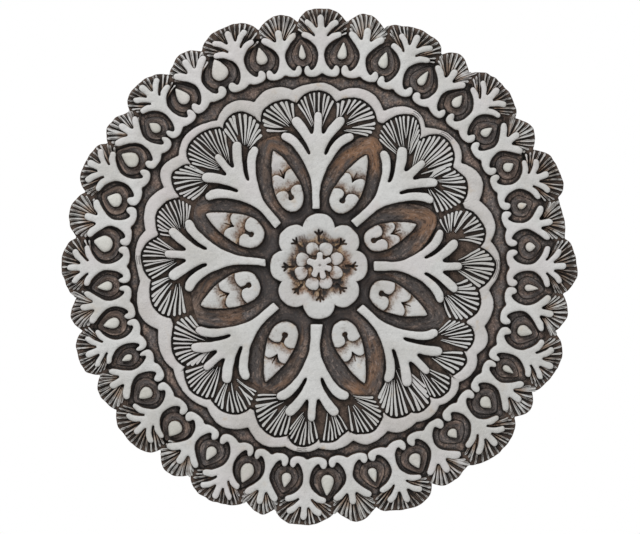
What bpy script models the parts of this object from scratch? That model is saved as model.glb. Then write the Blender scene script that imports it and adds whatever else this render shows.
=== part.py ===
"""Round wall plaque of fired clay, carved in relief as one piece.

Run it with: blender --background --python part.py

The plaque hangs upright. Its back lies in the plane y = 0, with the origin at the centre of the back,
its front faces -Y and +Z is up. Sizes are in metres and angles in degrees.
Shapes are drawn face on, with x to the right, y up and z out of the wall, and stood upright at the end.
"""

import math
from collections import namedtuple

import bmesh
import bpy
from mathutils import Matrix, Vector

# Heights, measured out of the wall
BODY_THICKNESS = 0.0090
FIGURE_RELIEF = 0.0050
BAND_RELIEF = 0.0040
RIM_RELIEF = 0.0034
FAN_FOOT_RELIEF = 0.0016
DROP_RELIEF = 0.0042
RIB_TOP_BELOW_BAND = 0.0003
RIB_DEPTH = 0.0010

# Rings, each as its own width, from the centre outwards
ROSETTE_RADIUS = 0.0355
ROSETTE_GAP = 0.0055
TREE_LENGTH = 0.0650
FAN_RISE = 0.0168
BAND_WIDTH = 0.0076
GUTTER_WIDTH = 0.0041
PALMETTE_LENGTH = 0.0432
RIM_RISE = 0.0028

TREE_ROOT = ROSETTE_RADIUS + ROSETTE_GAP
FAN_CREST = TREE_ROOT + TREE_LENGTH + FAN_RISE
BAND_CREST = FAN_CREST + BAND_WIDTH
PALMETTE_ROOT = BAND_CREST + GUTTER_WIDTH
RIM_CREST = PALMETTE_ROOT + PALMETTE_LENGTH + RIM_RISE

# How many of each there are round the plaque
TREES = 8
FANS_PER_TREE = 3
RIBS_PER_FAN = 5
PALMETTE_PAIRS = 16

# Depth of the scallops along each scalloped edge
RIM_SCALLOP = 0.0095
FAN_SCALLOP = 0.0060
BAND_SCALLOP = 0.0063
PETAL_SCALLOP = 0.0058
CUP_SCALLOP = 0.0028

# The middle of the rosette: a dish, a lobed cup in it, and a flower in the cup
DISH_RADIUS = 0.0265
DISH_DEPTH = 0.0022
CUP_RADIUS = 0.0169
CUP_HOLLOW_RADIUS = 0.0116
CUP_DEPTH = 0.0020
CUP_BELOW_BRIM = 0.0004
FLOWER_RADIUS = 0.0098
FLOWER_WAIST = 0.0052
FLOWER_ARMS = 6
FLOWER_BELOW_BRIM = 0.0006

# The scaled leaf in each almond-shaped recess
LEAF_GAP = 0.0030
LEAF_LENGTH = 0.0458
LEAF_HALF_WIDTH = 0.0102
LEAF_CUTS = (0.36, 0.64)
LEAF_CUT_DEPTH = 0.0020
LEAF_CUT_RUN = 0.0085

# The drop between two palmettes
DROP_FROM_ROOT = 0.0125
DROP_LENGTH = 0.0165
DROP_HALF_WIDTH = 0.0044

# The pocket in the back that slips over a nail
POCKET_HEIGHT = 0.1020
POCKET_WIDTH = 0.0160
POCKET_TALL = 0.0110
POCKET_DEPTH = 0.0062
LIP_THICKNESS = 0.0028
LIP_UNDERCUT = 0.0045

# How the carver drew it: the middle is a little off centre, lines wander, and the pattern has slipped
# round by a few degrees, given as (place, slip) clockwise from the top
MIDDLE_SHIFT = Vector((-0.0004, 0.0011))
HAND_WOBBLE = 0.0005
MIDDLE_SLIPS = (
    (0, -1.0), (45, -1.0), (90, 0.0), (135, -0.5), (180, 2.3), (225, 2.6), (270, 4.2), (315, 1.6), (360, -1.0)
)
BORDER_SLIPS = ((0, 0.3), (60, -0.5), (135, -0.5), (172, 3.0), (236, 3.4), (270, 0.9), (300, 1.8), (360, 0.3))

# How far each raised form reaches down into the body it grows from
ROOT_DEPTH = 0.0015

Finger = namedtuple("Finger", "tip radius heading notch")
Figure = namedtuple("Figure", "edge fingers top top_radius tip_steps")


def points(*pairs):
    """Points given as pairs of millimetres."""
    return [Vector(pair) / 1000 for pair in pairs]


def arc(centre, radius, start, end, steps):
    """Points along an arc, both ends included."""
    turn = (end - start) / steps
    angles = [math.radians(start + turn * i) for i in range(steps + 1)]
    return [centre + radius * Vector((math.cos(a), math.sin(a))) for a in angles]


def tip_of(centre, radius, heading, steps):
    """The end of a finger that points along heading, run anticlockwise."""
    spread = 45 + 18 * steps
    return arc(centre, radius, heading - spread, heading + spread, steps)


def mirrored(half):
    """A closed outline from its right half, which runs from the bottom to the top."""
    left = [Vector((-p.x, p.y)) for p in reversed(half) if p.x > 1e-6]
    return half + left


def figure_outline(figure):
    """The outline of a tree or a palmette: its edge, then each finger and the notch above it."""
    half = list(figure.edge)
    for finger in figure.fingers:
        half += tip_of(finger.tip, finger.radius, finger.heading, figure.tip_steps) + finger.notch
    half += arc(figure.top, figure.top_radius, 10, 90, 1)
    return mirrored(half)


def stretched(outline, own_length, length):
    """An outline drawn own_length long, made length long, with its widths as they were."""
    return [Vector((p.x, p.y * length / own_length)) for p in outline]


def scalloped(count, crest, depth, steps, phase=0.0):
    """A ring of round lobes, as (radius, angle) pairs with the angle in degrees clockwise from the top."""
    pitch = 360 / count
    ring = []
    for lobe in range(count):
        for step in range(steps):
            across = 2 * step / steps - 1
            radius = crest - depth * across * across
            ring.append((radius, phase + pitch * (lobe + across / 2)))
    return ring


def rim_ring(steps=6):
    """The outer edge: round lobes over the large palmettes and lower, pointed ones over the small."""
    pitch = 180 / PALMETTE_PAIRS
    valley = RIM_CREST - RIM_SCALLOP
    ring = []
    for lobe in range(2 * PALMETTE_PAIRS):
        large = lobe % 2 == 0
        width, power, rise = (0.56, 2.0, 1.0) if large else (0.44, 1.35, 0.84)
        for step in range(steps):
            across = 2 * step / steps - 1
            radius = valley + RIM_SCALLOP * rise * (1 - abs(across) ** power)
            ring.append((radius, pitch * (lobe + across * width)))
    return ring


def polar(ring):
    """Points from (radius, angle) pairs."""
    return [
        Vector((r * math.sin(math.radians(a)), r * math.cos(math.radians(a)))) for r, a in ring
    ]


def placed(outline, root, angle):
    """An outline drawn upright from its foot, set out from the centre at root and turned clockwise."""
    a = math.radians(angle)
    out, right = Vector((math.sin(a), math.cos(a))), Vector((math.cos(a), -math.sin(a)))
    return [right * p.x + out * (root + p.y) for p in outline]


def slip(angle, slips):
    """How far the pattern has slipped round at a place, in degrees clockwise."""
    angle %= 360
    for (start, first), (end, last) in zip(slips, slips[1:]):
        if start <= angle <= end:
            share = (angle - start) / (end - start)
            return first + (last - first) * share * share * (3 - 2 * share)
    return slips[0][1]


def by_hand(point):
    """Where the carver put a point of the even pattern."""
    x, y = point[0], point[1]
    slips = MIDDLE_SLIPS if math.hypot(x, y) < BAND_CREST + GUTTER_WIDTH / 2 else BORDER_SLIPS
    turn = math.radians(slip(math.degrees(math.atan2(x, y)), slips))
    moved = Vector((x * math.cos(turn) + y * math.sin(turn), y * math.cos(turn) - x * math.sin(turn)))
    wave = 2 * math.pi / BAND_CREST
    wander = Vector((math.sin(wave * y * 1.6 + 0.7), math.sin(wave * x * 1.3 + 2.0)))
    inward = 1 - math.hypot(x, y) / RIM_CREST
    return moved + MIDDLE_SHIFT * min(1.0, max(0.0, 2 * inward)) + HAND_WOBBLE * wander


def add_prism(bm, outline, low, high):
    """A solid with this outline between two heights."""
    corners = [bm.verts.new((*by_hand(p), low)) for p in outline]
    extrude(bm, bm.faces.new(corners), (0, 0, high - low))


def extrude(bm, face, reach):
    """Draws a face out into a closed solid."""
    made = bmesh.ops.extrude_face_region(bm, geom=[face], use_keep_orig=True)
    far = [v for v in made["geom"] if isinstance(v, bmesh.types.BMVert)]
    bmesh.ops.translate(bm, vec=reach, verts=far)


def solid(name, build, helper=True):
    """An object from a function that fills a bmesh, stood upright with its front towards -Y."""
    bm = bmesh.new()
    build(bm)
    bmesh.ops.recalc_face_normals(bm, faces=bm.faces)
    bmesh.ops.transform(bm, matrix=Matrix.Rotation(math.radians(90), 4, "X"), verts=bm.verts)
    mesh = bpy.data.meshes.new(name)
    bm.to_mesh(mesh)
    bm.free()
    obj = bpy.data.objects.new(name, mesh)
    bpy.context.scene.collection.objects.link(obj)
    obj.hide_render = helper
    if helper:
        obj.display_type = "WIRE"
    return obj


def combine(target, other, operation):
    """Cuts a helper from the plaque, or joins it on."""
    modifier = target.modifiers.new(f"{operation.lower()} {other.name}", "BOOLEAN")
    modifier.operation = operation
    modifier.object = other


def build_body(bm):
    """The disc up to the level of the rim."""
    add_prism(bm, polar(rim_ring()), 0.0, BODY_THICKNESS + RIM_RELIEF)


def build_field(bm):
    """What is carved away inside the rim: it runs out under the fingers of the palmettes."""
    pitch = 180 / PALMETTE_PAIRS
    ring = []
    for palmette in range(2 * PALMETTE_PAIRS):
        for across, out in ((-0.5, 0.71), (-0.25, 0.62), (0.25, 0.62)):
            radius = PALMETTE_ROOT + PALMETTE_LENGTH * out
            ring.append((radius, pitch * (palmette + across)))
    add_prism(bm, polar(ring), BODY_THICKNESS, BODY_THICKNESS + 2 * FIGURE_RELIEF)


def build_band(bm):
    """The plain scalloped band: the space between its two scalloped edges."""
    count = TREES * FANS_PER_TREE
    outer = polar(scalloped(count, BAND_CREST, BAND_SCALLOP, 5))
    inner = polar(scalloped(count, FAN_CREST, FAN_SCALLOP, 5))
    low, high = BODY_THICKNESS - ROOT_DEPTH, BODY_THICKNESS + BAND_RELIEF
    loops = [
        [bm.verts.new((*by_hand(p), z)) for p in ring]
        for ring, z in ((outer, low), (outer, high), (inner, high), (inner, low))
    ]
    for loop in range(4):
        bridge(bm, loops[loop], loops[(loop + 1) % 4])


def bridge(bm, first, second):
    """Faces between two rings of as many vertices."""
    for i in range(len(first)):
        j = (i + 1) % len(first)
        bm.faces.new((first[i], first[j], second[j], second[i]))


def build_fans(bm):
    """The ring of ribbed fans, which slopes from under the band down to the fingers of the trees."""
    count = TREES * FANS_PER_TREE
    pitch = 360 / count
    steps = 2 * RIBS_PER_FAN
    crest = FAN_CREST + BAND_WIDTH / 4
    ridge = BODY_THICKNESS + BAND_RELIEF - RIB_TOP_BELOW_BAND
    valley = ridge - RIB_DEPTH
    low, foot = BODY_THICKNESS - ROOT_DEPTH, BODY_THICKNESS + FAN_FOOT_RELIEF
    rim = scalloped(count, crest, FAN_SCALLOP, steps)
    tops, bottoms, feet, undersides = [], [], [], []
    for i, (radius, angle) in enumerate(rim):
        point = by_hand(polar([(radius, angle)])[0])
        tops.append(bm.verts.new((*point, ridge if i % 2 else valley)))
        bottoms.append(bm.verts.new((*point, low)))
    for fan in range(count):
        middle = fan % FANS_PER_TREE == 0
        lean = {0: 0.0, 1: -0.12, 2: 0.12}[fan % FANS_PER_TREE]
        radius = TREE_ROOT + TREE_LENGTH * (0.92 if middle else 0.85)
        point = by_hand(polar([(radius, pitch * (fan + lean))])[0])
        feet.append(bm.verts.new((*point, foot)))
        undersides.append(bm.verts.new((*point, low)))
    for fan in range(count):
        after = (fan + 1) % count
        first = fan * steps
        for i in range(steps):
            j = (first + i + 1) % len(tops)
            bm.faces.new((feet[fan], tops[first + i], tops[j]))
            bm.faces.new((undersides[fan], bottoms[j], bottoms[first + i]))
            bm.faces.new((tops[first + i], bottoms[first + i], bottoms[j], tops[j]))
        seam = after * steps
        bm.faces.new((feet[fan], tops[seam], feet[after]))
        bm.faces.new((undersides[after], bottoms[seam], undersides[fan]))
        bm.faces.new((feet[fan], feet[after], undersides[after], undersides[fan]))


TREE = Figure(
    edge=points((2.9, 0), (3.1, 12), (5.8, 24), (11.3, 35), (18.6, 43.4)),
    fingers=[
        Finger(points((22.0, 49.0))[0], 0.0031, 33, points((13.6, 46.6), (5.6, 36.8), (9.4, 46.2))),
        Finger(points((16.0, 59.0))[0], 0.0034, 46, points((8.6, 58.2), (3.6, 51.0))),
    ],
    top=points((0, 62.5))[0],
    top_radius=0.0025,
    tip_steps=2,
)
PALMETTE_FOOT = points((0, 1.8), (8.4, 0), (12.3, 2.4), (12.2, 7.4), (9.2, 8.6), (7.4, 4.8))
LARGE_PALMETTE = Figure(
    edge=PALMETTE_FOOT + points((3.3, 9.6), (2.4, 15.5), (4.0, 22.2), (8.6, 27.2)),
    fingers=[
        Finger(points((13.0, 31.2))[0], 0.0023, 33, points((4.4, 29.6))),
        Finger(points((10.8, 38.0))[0], 0.0024, 46, points((2.9, 34.6))),
    ],
    top=points((0, 40.9))[0],
    top_radius=0.0024,
    tip_steps=1,
)
SMALL_PALMETTE = Figure(
    edge=PALMETTE_FOOT + points((3.3, 9.6), (2.4, 15.5), (4.6, 22.6)),
    fingers=[Finger(points((10.6, 29.2))[0], 0.0026, 40, points((3.0, 26.8)))],
    top=points((0, 33.0))[0],
    top_radius=0.0027,
    tip_steps=1,
)


def build_trees(bm):
    outline = stretched(figure_outline(TREE), 0.0650, TREE_LENGTH)
    for tree in range(TREES):
        raised(bm, placed(outline, TREE_ROOT, 360 / TREES * tree), FIGURE_RELIEF)


def build_palmettes(bm):
    pitch = 180 / PALMETTE_PAIRS
    for i in range(2 * PALMETTE_PAIRS):
        figure = SMALL_PALMETTE if i % 2 else LARGE_PALMETTE
        outline = stretched(figure_outline(figure), 0.0432, PALMETTE_LENGTH)
        raised(bm, placed(outline, PALMETTE_ROOT, pitch * i), FIGURE_RELIEF)


def build_drops(bm):
    """A drop between each two palmettes, round towards the centre and pointed outwards."""
    width = DROP_HALF_WIDTH
    half = arc(Vector((0, width)), width, -62, 20, 2) + [Vector((0, DROP_LENGTH))]
    pitch = 180 / PALMETTE_PAIRS
    for i in range(2 * PALMETTE_PAIRS):
        outline = placed(mirrored(half), PALMETTE_ROOT + DROP_FROM_ROOT, pitch * (i + 0.5))
        raised(bm, outline, DROP_RELIEF)


def leaf_half_width(along):
    """Half the width of a leaf as a share, along its length from the round foot to the point."""
    return math.sin(math.pi * along**0.62) ** 0.72


def build_leaves(bm):
    steps = 6
    half = []
    for i in range(steps + 1):
        along = i / steps
        half.append(Vector((LEAF_HALF_WIDTH * leaf_half_width(along), LEAF_LENGTH * along)))
    half[0].x = half[-1].x = 0.0
    root = ROSETTE_RADIUS + LEAF_GAP
    for i in range(TREES):
        outline = placed(mirrored(half), root, 360 / TREES * (i + 0.5))
        raised(bm, outline, FIGURE_RELIEF)


def raised(bm, outline, relief):
    """A figure that stands on the floor of the recesses."""
    add_prism(bm, outline, BODY_THICKNESS - ROOT_DEPTH, BODY_THICKNESS + relief)


def build_rosette(bm):
    raised(bm, polar(scalloped(TREES, ROSETTE_RADIUS, PETAL_SCALLOP, 5)), FIGURE_RELIEF)


def build_leaf_cuts(bm):
    """Two sloping cuts across each leaf, deep towards the foot, which leave it in three scales."""
    top = BODY_THICKNESS + FIGURE_RELIEF
    root = ROSETTE_RADIUS + LEAF_GAP
    reach = 1.3 * LEAF_HALF_WIDTH
    for leaf in range(TREES):
        for share in LEAF_CUTS:
            ends = []
            for across in (-reach, reach):
                low = Vector((across, LEAF_LENGTH * share))
                high = low + Vector((0, LEAF_CUT_RUN))
                near, far = map(by_hand, placed([low, high], root, 360 / TREES * (leaf + 0.5)))
                deep, above = top - LEAF_CUT_DEPTH, top + ROOT_DEPTH
                ends.append([bm.verts.new((*p, z)) for p, z in ((near, deep), (near, above), (far, above))])
            bridge(bm, *ends)
            for end in ends:
                bm.faces.new(end)


def build_dish(bm):
    """The hollow of the rosette, from its brim down to the floor of the dish."""
    top = BODY_THICKNESS + FIGURE_RELIEF
    add_turned(bm, [(CUP_RADIUS, top - DISH_DEPTH), (DISH_RADIUS, top), (DISH_RADIUS, top + ROOT_DEPTH)])


def add_turned(bm, profile, sides=16):
    """A closed solid turned about the centre, from a profile of (radius, height) going up."""
    rings = []
    for radius, height in profile:
        around = polar([(radius, 360 / sides * i) for i in range(sides)])
        rings.append([bm.verts.new((*by_hand(p), height)) for p in around])
    for lower, upper in zip(rings, rings[1:]):
        bridge(bm, lower, upper)
    bm.faces.new(rings[0])
    bm.faces.new(rings[-1])


def build_cup(bm):
    top = BODY_THICKNESS + FIGURE_RELIEF
    ring = scalloped(TREES, CUP_RADIUS, CUP_SCALLOP, 4, phase=180 / TREES)
    add_prism(bm, polar(ring), top - DISH_DEPTH - ROOT_DEPTH, top - CUP_BELOW_BRIM)


def build_cup_hollow(bm):
    top = BODY_THICKNESS + FIGURE_RELIEF
    add_turned(bm, [(CUP_HOLLOW_RADIUS, top - CUP_DEPTH), (CUP_HOLLOW_RADIUS, top + ROOT_DEPTH)])


def build_flower(bm):
    top = BODY_THICKNESS + FIGURE_RELIEF
    pitch = 360 / FLOWER_ARMS
    ring = []
    for arm in range(FLOWER_ARMS):
        for across, radius in ((-0.5, FLOWER_WAIST), (-0.17, FLOWER_RADIUS), (0.17, FLOWER_RADIUS)):
            ring.append((radius, pitch * (arm + across)))
    add_prism(bm, polar(ring), top - CUP_DEPTH - ROOT_DEPTH, top - FLOWER_BELOW_BRIM)


def build_pocket(bm):
    """The pocket in the back, with an undercut behind its upper lip for the head of the nail."""
    width = POCKET_WIDTH / 2
    top = POCKET_HEIGHT
    profile = [
        (top - POCKET_TALL, -ROOT_DEPTH),
        (top, -ROOT_DEPTH),
        (top, LIP_THICKNESS),
        (top + LIP_UNDERCUT, LIP_THICKNESS),
        (top + LIP_UNDERCUT, POCKET_DEPTH),
        (top - POCKET_TALL, POCKET_DEPTH),
    ]
    corners = [bm.verts.new((-width, up, out)) for up, out in profile]
    extrude(bm, bm.faces.new(corners), (2 * width, 0, 0))


def clay():
    """Pale slip over dark clay, unglazed."""
    material = bpy.data.materials.new("fired clay with pale slip")
    material.use_nodes = True
    shader = material.node_tree.nodes["Principled BSDF"]
    shader.inputs["Base Color"].default_value = (0.56, 0.55, 0.53, 1)
    shader.inputs["Roughness"].default_value = 0.72
    shader.inputs["Metallic"].default_value = 0.0
    return material


def main():
    for obj in list(bpy.data.objects):
        bpy.data.objects.remove(obj)
    plaque = solid("plaque", build_body, helper=False)
    steps = (
        ("field", build_field, "DIFFERENCE"),
        ("fans", build_fans, "UNION"),
        ("band", build_band, "UNION"),
        ("trees", build_trees, "UNION"),
        ("palmettes", build_palmettes, "UNION"),
        ("drops", build_drops, "UNION"),
        ("leaves", build_leaves, "UNION"),
        ("leaf_cuts", build_leaf_cuts, "DIFFERENCE"),
        ("rosette", build_rosette, "UNION"),
        ("dish", build_dish, "DIFFERENCE"),
        ("cup", build_cup, "UNION"),
        ("cup_hollow", build_cup_hollow, "DIFFERENCE"),
        ("flower", build_flower, "UNION"),
        ("pocket", build_pocket, "DIFFERENCE"),
    )
    for name, build, operation in steps:
        combine(plaque, solid(name, build), operation)
    plaque.data.materials.append(clay())


main()
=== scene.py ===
"""Round wall plaque of fired clay, carved in relief: a flower medallion in a border of palmettes.

Shapes are drawn face on in millimetres, with x to the right, y up and z out of the wall. Each piece is
stood upright at the end, so that the carved front faces -Y and the origin is the centre of the flat back.
Angles run clockwise from the top, in degrees.
"""

import math
import random
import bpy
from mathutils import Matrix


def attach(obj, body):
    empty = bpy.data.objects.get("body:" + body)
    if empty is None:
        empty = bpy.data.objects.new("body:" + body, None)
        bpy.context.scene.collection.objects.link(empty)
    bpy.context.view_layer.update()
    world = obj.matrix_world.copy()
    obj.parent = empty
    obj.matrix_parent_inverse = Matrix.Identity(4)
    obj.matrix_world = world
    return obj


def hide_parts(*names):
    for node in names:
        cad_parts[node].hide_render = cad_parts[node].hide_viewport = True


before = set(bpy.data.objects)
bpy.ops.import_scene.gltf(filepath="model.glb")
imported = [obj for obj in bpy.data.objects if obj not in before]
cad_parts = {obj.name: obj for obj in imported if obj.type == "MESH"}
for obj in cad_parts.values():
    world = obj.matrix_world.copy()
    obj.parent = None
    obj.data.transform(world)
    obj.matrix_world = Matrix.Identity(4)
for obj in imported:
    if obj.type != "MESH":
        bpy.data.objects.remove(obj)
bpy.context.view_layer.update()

import bmesh
import bpy
from bpy.props import FloatProperty, FloatVectorProperty, IntProperty, PointerProperty
from mathutils import Matrix, Vector, geometry, kdtree, noise

bl_info = {
    "name": "Carved clay wall plaque",
    "version": (1, 0, 0),
    "blender": (4, 5, 0),
    "location": "View3D > Sidebar > Plaque",
    "description": "Builds a round relief plaque of fired clay, piece by piece",
    "category": "Add Mesh",
}

MM = 0.001

# Rings of the pattern, in millimetres from the centre. The petals' ends come first, clockwise from the top.
PETALS = (37.0, 35.2, 34.3, 35.3, 37.4, 35.3, 34.3, 35.4)
TREE_ROOT = 41.0
GROUND_START = 89.6
# Where the band begins between two fans
BAND_FOOT = 108.4
PALMETTE_ROOT = 134.0
PALMETTE_LENGTH = 43.2
RIM_CREST, RIM_NOTCH = 180.2, 171.3
# How far the body stays inside the line of the rim
BODY_INSIDE_RIM = 0.35
# Thickness of the clay skins that line the troughs
LINING = 1.2

TREES = 8
PALMETTES = 32
PETAL_PITCH = 45
PALMETTE_PITCH = 360 / PALMETTES

# Where the carver's hand put things: the middle is a little off centre, and each figure has slipped
# sideways or come out longer or shorter than its neighbours
MIDDLE = Vector((-0.35, 1.04))
BORDER = Vector((0.35, 0.3))
BORDER_SLIPS = (
    0.3, 0.3, 0.2, 0.7, 0.2, 0.0, 0.1, 0.0, 0.0, 0.2, 1.0, -0.3, 0.0, 1.6, 2.1, 3.2,
    3.7, 3.2, 2.2, 2.4, 3.2, 4.0, 1.9, 1.4, 0.0, 0.8, 1.6, 1.6, 0.5, 0.3, 1.1, 1.1,
)
TREE_LEANS = (
    (-2.1, -0.7), (-3.1, 0.0), (0.0, 0.0), (0.0, -1.4), (1.7, 4.9), (1.7, 5.2), (2.8, 8.3), (0.0, 3.5),
)
TREE_LENGTHS = (1.01, 0.95, 0.89, 1.0, 1.02, 1.01, 1.02, 0.98)
TREE_FEET = (1.3, 3.8, 3.1, 0.7, 0.6, 0.8, 4.1, 1.1)
TREE_STEMS = (2.65, 3.25, 3.4, 3.2, 4.3, 3.2, 2.6, 3.0)
LARGE_LENGTHS = (
    1.02, 1.02, 1.04, 0.95, 0.98, 1.04, 1.03, 1.03, 1.0, 1.03, 0.94, 0.96, 0.98, 1.03, 1.0, 0.96,
)

# How far each palmette stands out at its foot, and at its tips
PALMETTE_SHIFTS = (
    (-1.5, -1.5), (-0.5, 1.0), (-2, -1.5), (-2, -3), (-0.5, -2), (-1.5, -3), (-2, -2), (-3.5, -4.5),
    (-4, -4), (-4, -3), (-2, -1.5), (-1.5, -1.5), (-2, -3), (-1.5, -1.5), (-2, -3), (-2, -3),
    (-1.5, 0), (-1.5, -0.5), (-1.5, -0.5), (-0.5, -0.5), (-0.5, -0.5), (-3, -3), (-2, -0.5), (-1.5, 0),
    (-1.5, 0.5), (-1.5, -2.5), (-0.5, 0), (-0.5, 0.5), (0.5, 1.5), (1.5, 3), (0.5, 2), (-0.5, -1.5),
)
# The crests of the small lobes of the rim
SMALL_CRESTS = (
    179.7, 177.8, 177.7, 174.0, 176.5, 178.4, 176.8, 179.8,
    177.0, 179.0, 178.1, 177.8, 179.6, 178.2, 177.7, 178.7,
)

# The fans, clockwise from the top. Each is the place where its ribs meet, its edge, and the notch and the
# crest of the lobe of the band beyond it. Every place is (angle, distance from the centre).
FANS = (
    ((359, 99), (
        (351.8, 114), (354, 119), (356.4, 122), (360, 123), (363.5, 120.5), (365.2, 116),
    ), (351.4, 125.3), (360, 129)),
    ((9.5, 102), (
        (5.7, 115), (8, 118), (13, 120.5), (17, 118.5), (19.5, 114.5), (21.7, 108.5), (22.2, 103),
        (21, 98.5), (19.5, 95.5),
    ), (6.8, 123.6), (13.6, 128.4)),
    ((36, 101), (
        (25, 97.5), (23.9, 102.5), (23.9, 108.5), (25, 112.5), (27.3, 118.5), (30, 122.5),
        (32.7, 124), (35.2, 120.5), (37, 116), (37.7, 112),
    ), (22.3, 118.4), (31.4, 128.4)),
    ((44.8, 97), (
        (38.2, 111), (38.6, 116), (41, 122.5), (44.5, 125.8), (48.2, 124.2), (51, 120), (52.5, 116),
    ), (37, 122.8), (46.8, 130.3)),
    ((54, 100), (
        (49.8, 104), (50.5, 111), (53, 115.5), (55.5, 117), (59.5, 119), (62.7, 115.5), (65, 110.5),
        (65.9, 104.5), (66, 98.5), (65.5, 93), (65, 88.5),
    ), (53.6, 123.2), (60.5, 129)),
    ((75.5, 98), (
        (68.2, 88.5), (66.8, 95), (67.2, 102), (67.6, 106), (69.1, 111.5), (72.3, 115.5),
        (77.3, 118.5), (80.5, 116), (82.3, 113),
    ), (67.3, 121), (75.5, 126.5)),
    ((89, 98), (
        (82.7, 111.5), (84.1, 116), (87.7, 122.5), (90.5, 122), (93.4, 119.5), (96, 115.5),
        (97.5, 112),
    ), (81.3, 120.7), (88, 126.3)),
    ((101.5, 92), (
        (94, 103), (96.5, 108), (98.2, 112), (103.2, 114.7), (106, 113.8), (108.2, 111),
        (109.8, 107.5), (110.7, 102), (111.2, 96.5),
    ), (97.7, 119.5), (103.6, 124.6)),
    ((119, 97), (
        (111.8, 96.5), (110.9, 103), (110.9, 110), (111.8, 114.5), (114.5, 118.5), (117, 118.5),
        (119.3, 117),
    ), (109.5, 122.2), (114.8, 128.6)),
    ((127.5, 101), (
        (120.1, 115), (121.8, 120), (123.9, 121.3), (126.4, 121), (129.1, 119),
    ), (118.9, 125.3), (123.9, 129.8)),
    ((134.8, 101), (
        (130, 118.5), (132.3, 122.5), (134.3, 124.2), (138.2, 122.5), (139.5, 117),
    ), (129.5, 126.3), (134.3, 130.2)),
    ((141.5, 90), (
        (137.5, 110), (139.8, 116), (140.5, 121.3), (143.2, 122.7), (145.9, 121.8), (147.5, 118.5),
    ), (139.1, 127.4), (143, 130.2)),
    ((147, 93), (
        (147.9, 118.5), (149.5, 119), (153.2, 117.2), (154.8, 115), (155.9, 110.5), (156.1, 103.5),
        (155.5, 98.5),
    ), (148, 127.4), (152.3, 128.8)),
    ((165.5, 97), (
        (157.3, 97), (156.6, 103.5), (156.6, 111), (158.2, 115), (160.9, 119), (163.2, 119.8),
        (167.3, 118.5), (169.3, 116),
    ), (157.3, 123.9), (164.5, 127.9)),
    ((175.5, 101), (
        (169.6, 114.3), (173.2, 118.5), (175.5, 121.5), (179.6, 121),
    ), (169, 123.2), (175.5, 127.9)),
    ((185, 103), (
        (180.2, 118), (181.4, 122), (185.9, 125.3), (189.1, 122.5), (190.5, 118.5), (190.5, 113),
    ), (180.3, 126.3), (185, 129.5)),
    ((194, 97), (
        (190.9, 118.5), (193.6, 121), (195.9, 121.6), (199.5, 119), (202.3, 114.5), (205, 107.5),
        (206, 102), (205.9, 97.5),
    ), (190.9, 127.2), (196.8, 129.8)),
    ((217, 101), (
        (206.6, 95), (206.5, 102), (206.2, 108.5), (207.3, 112.5), (209.5, 117), (213.6, 120.5),
        (216.4, 119.5), (218.6, 118.5),
    ), (203.9, 122.5), (212.3, 130)),
    ((226.3, 100), (
        (218.9, 116.5), (220.9, 120.7), (225.5, 124), (229.1, 122.5), (231.4, 120), (232.7, 118),
    ), (218.6, 125.6), (225.9, 128.8)),
    ((236, 97), (
        (230.5, 104), (232, 111), (233.2, 115), (235, 117), (238.6, 118), (242.7, 115.5),
        (246.4, 111.5), (249.3, 107.5), (250, 102), (249.9, 94),
    ), (235.2, 124.2), (239.5, 126.2)),
    ((264, 102), (
        (251, 97.5), (250.8, 105.5), (251.9, 111), (254.1, 116), (257.7, 119), (261.8, 118.5),
        (265, 117),
    ), (248.9, 121), (256.4, 130.2)),
    ((274.3, 101), (
        (265.6, 116), (267.3, 119.5), (270, 122.5), (274.5, 124.2), (278.2, 120.7), (280.5, 115.5),
        (281.1, 114),
    ), (265.7, 125.6), (275, 128.8)),
    ((285, 101), (
        (281.4, 113), (283.6, 116.5), (288.2, 119.7), (291.4, 117.2), (294.1, 114), (295.7, 110.5),
        (296.2, 104.5), (295.8, 98.5),
    ), (282, 124), (289.1, 128.6)),
    ((307.5, 101), (
        (297.8, 98.5), (297.2, 104.5), (297.1, 110.5), (299.1, 116.5), (302.5, 121.5), (305.5, 119),
        (308.2, 116), (308.6, 110),
    ), (297.2, 122.2), (302.5, 130)),
    ((317.3, 98), (
        (308.9, 114), (310, 120), (312.3, 123.5), (316.4, 125), (320, 123.5), (323.2, 120.7),
        (325, 118), (324.8, 112),
    ), (308.4, 125.6), (315.5, 131.3)),
    ((328.5, 100), (
        (325.2, 116), (326.4, 119.5), (330, 122.5), (333.2, 121), (335.5, 116), (337, 110.5),
        (337.2, 104.5), (336.6, 99.5),
    ), (325.1, 125), (331.4, 130.5)),
    ((348, 101), (
        (338.8, 101), (338.4, 105), (338.4, 110.5), (340, 116), (345, 119.3), (349.1, 118.5),
        (351.3, 115.5),
    ), (338.4, 124.2), (345, 129.5)),
)
# Where the ground of the fans begins between two trees
GROUND_ENDS = ((22.3, 97), (111.3, 93), (156.8, 96), (206, 92.5), (250.5, 92), (297, 96), (338, 96.5))

# Each leaf: foot and point from the centre, how far each stands to the side, and half its width
LEAVES = (
    (38.6, 84.8, -3.1, 1.4, 10.1),
    (35.1, 74.4, -2.1, -0.7, 9.5),
    (38.9, 83.4, 0.7, 2.4, 10.8),
    (40.3, 87.6, 1.4, 2.1, 10.1),
    (43.1, 89.3, 3.5, 3.5, 10.1),
    (41.7, 87.2, 6.3, 6.3, 11.8),
    (42.4, 86.9, 2.1, 3.5, 10.8),
    (41.0, 86.9, 0.0, 1.4, 9.7),
)
# How rusty the far end of each leaf's trough is
LEAF_RUST = (1.0, 0.85, 0.45, 0.75, 0.6, 0.35, 0.15, 0.4)
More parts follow.
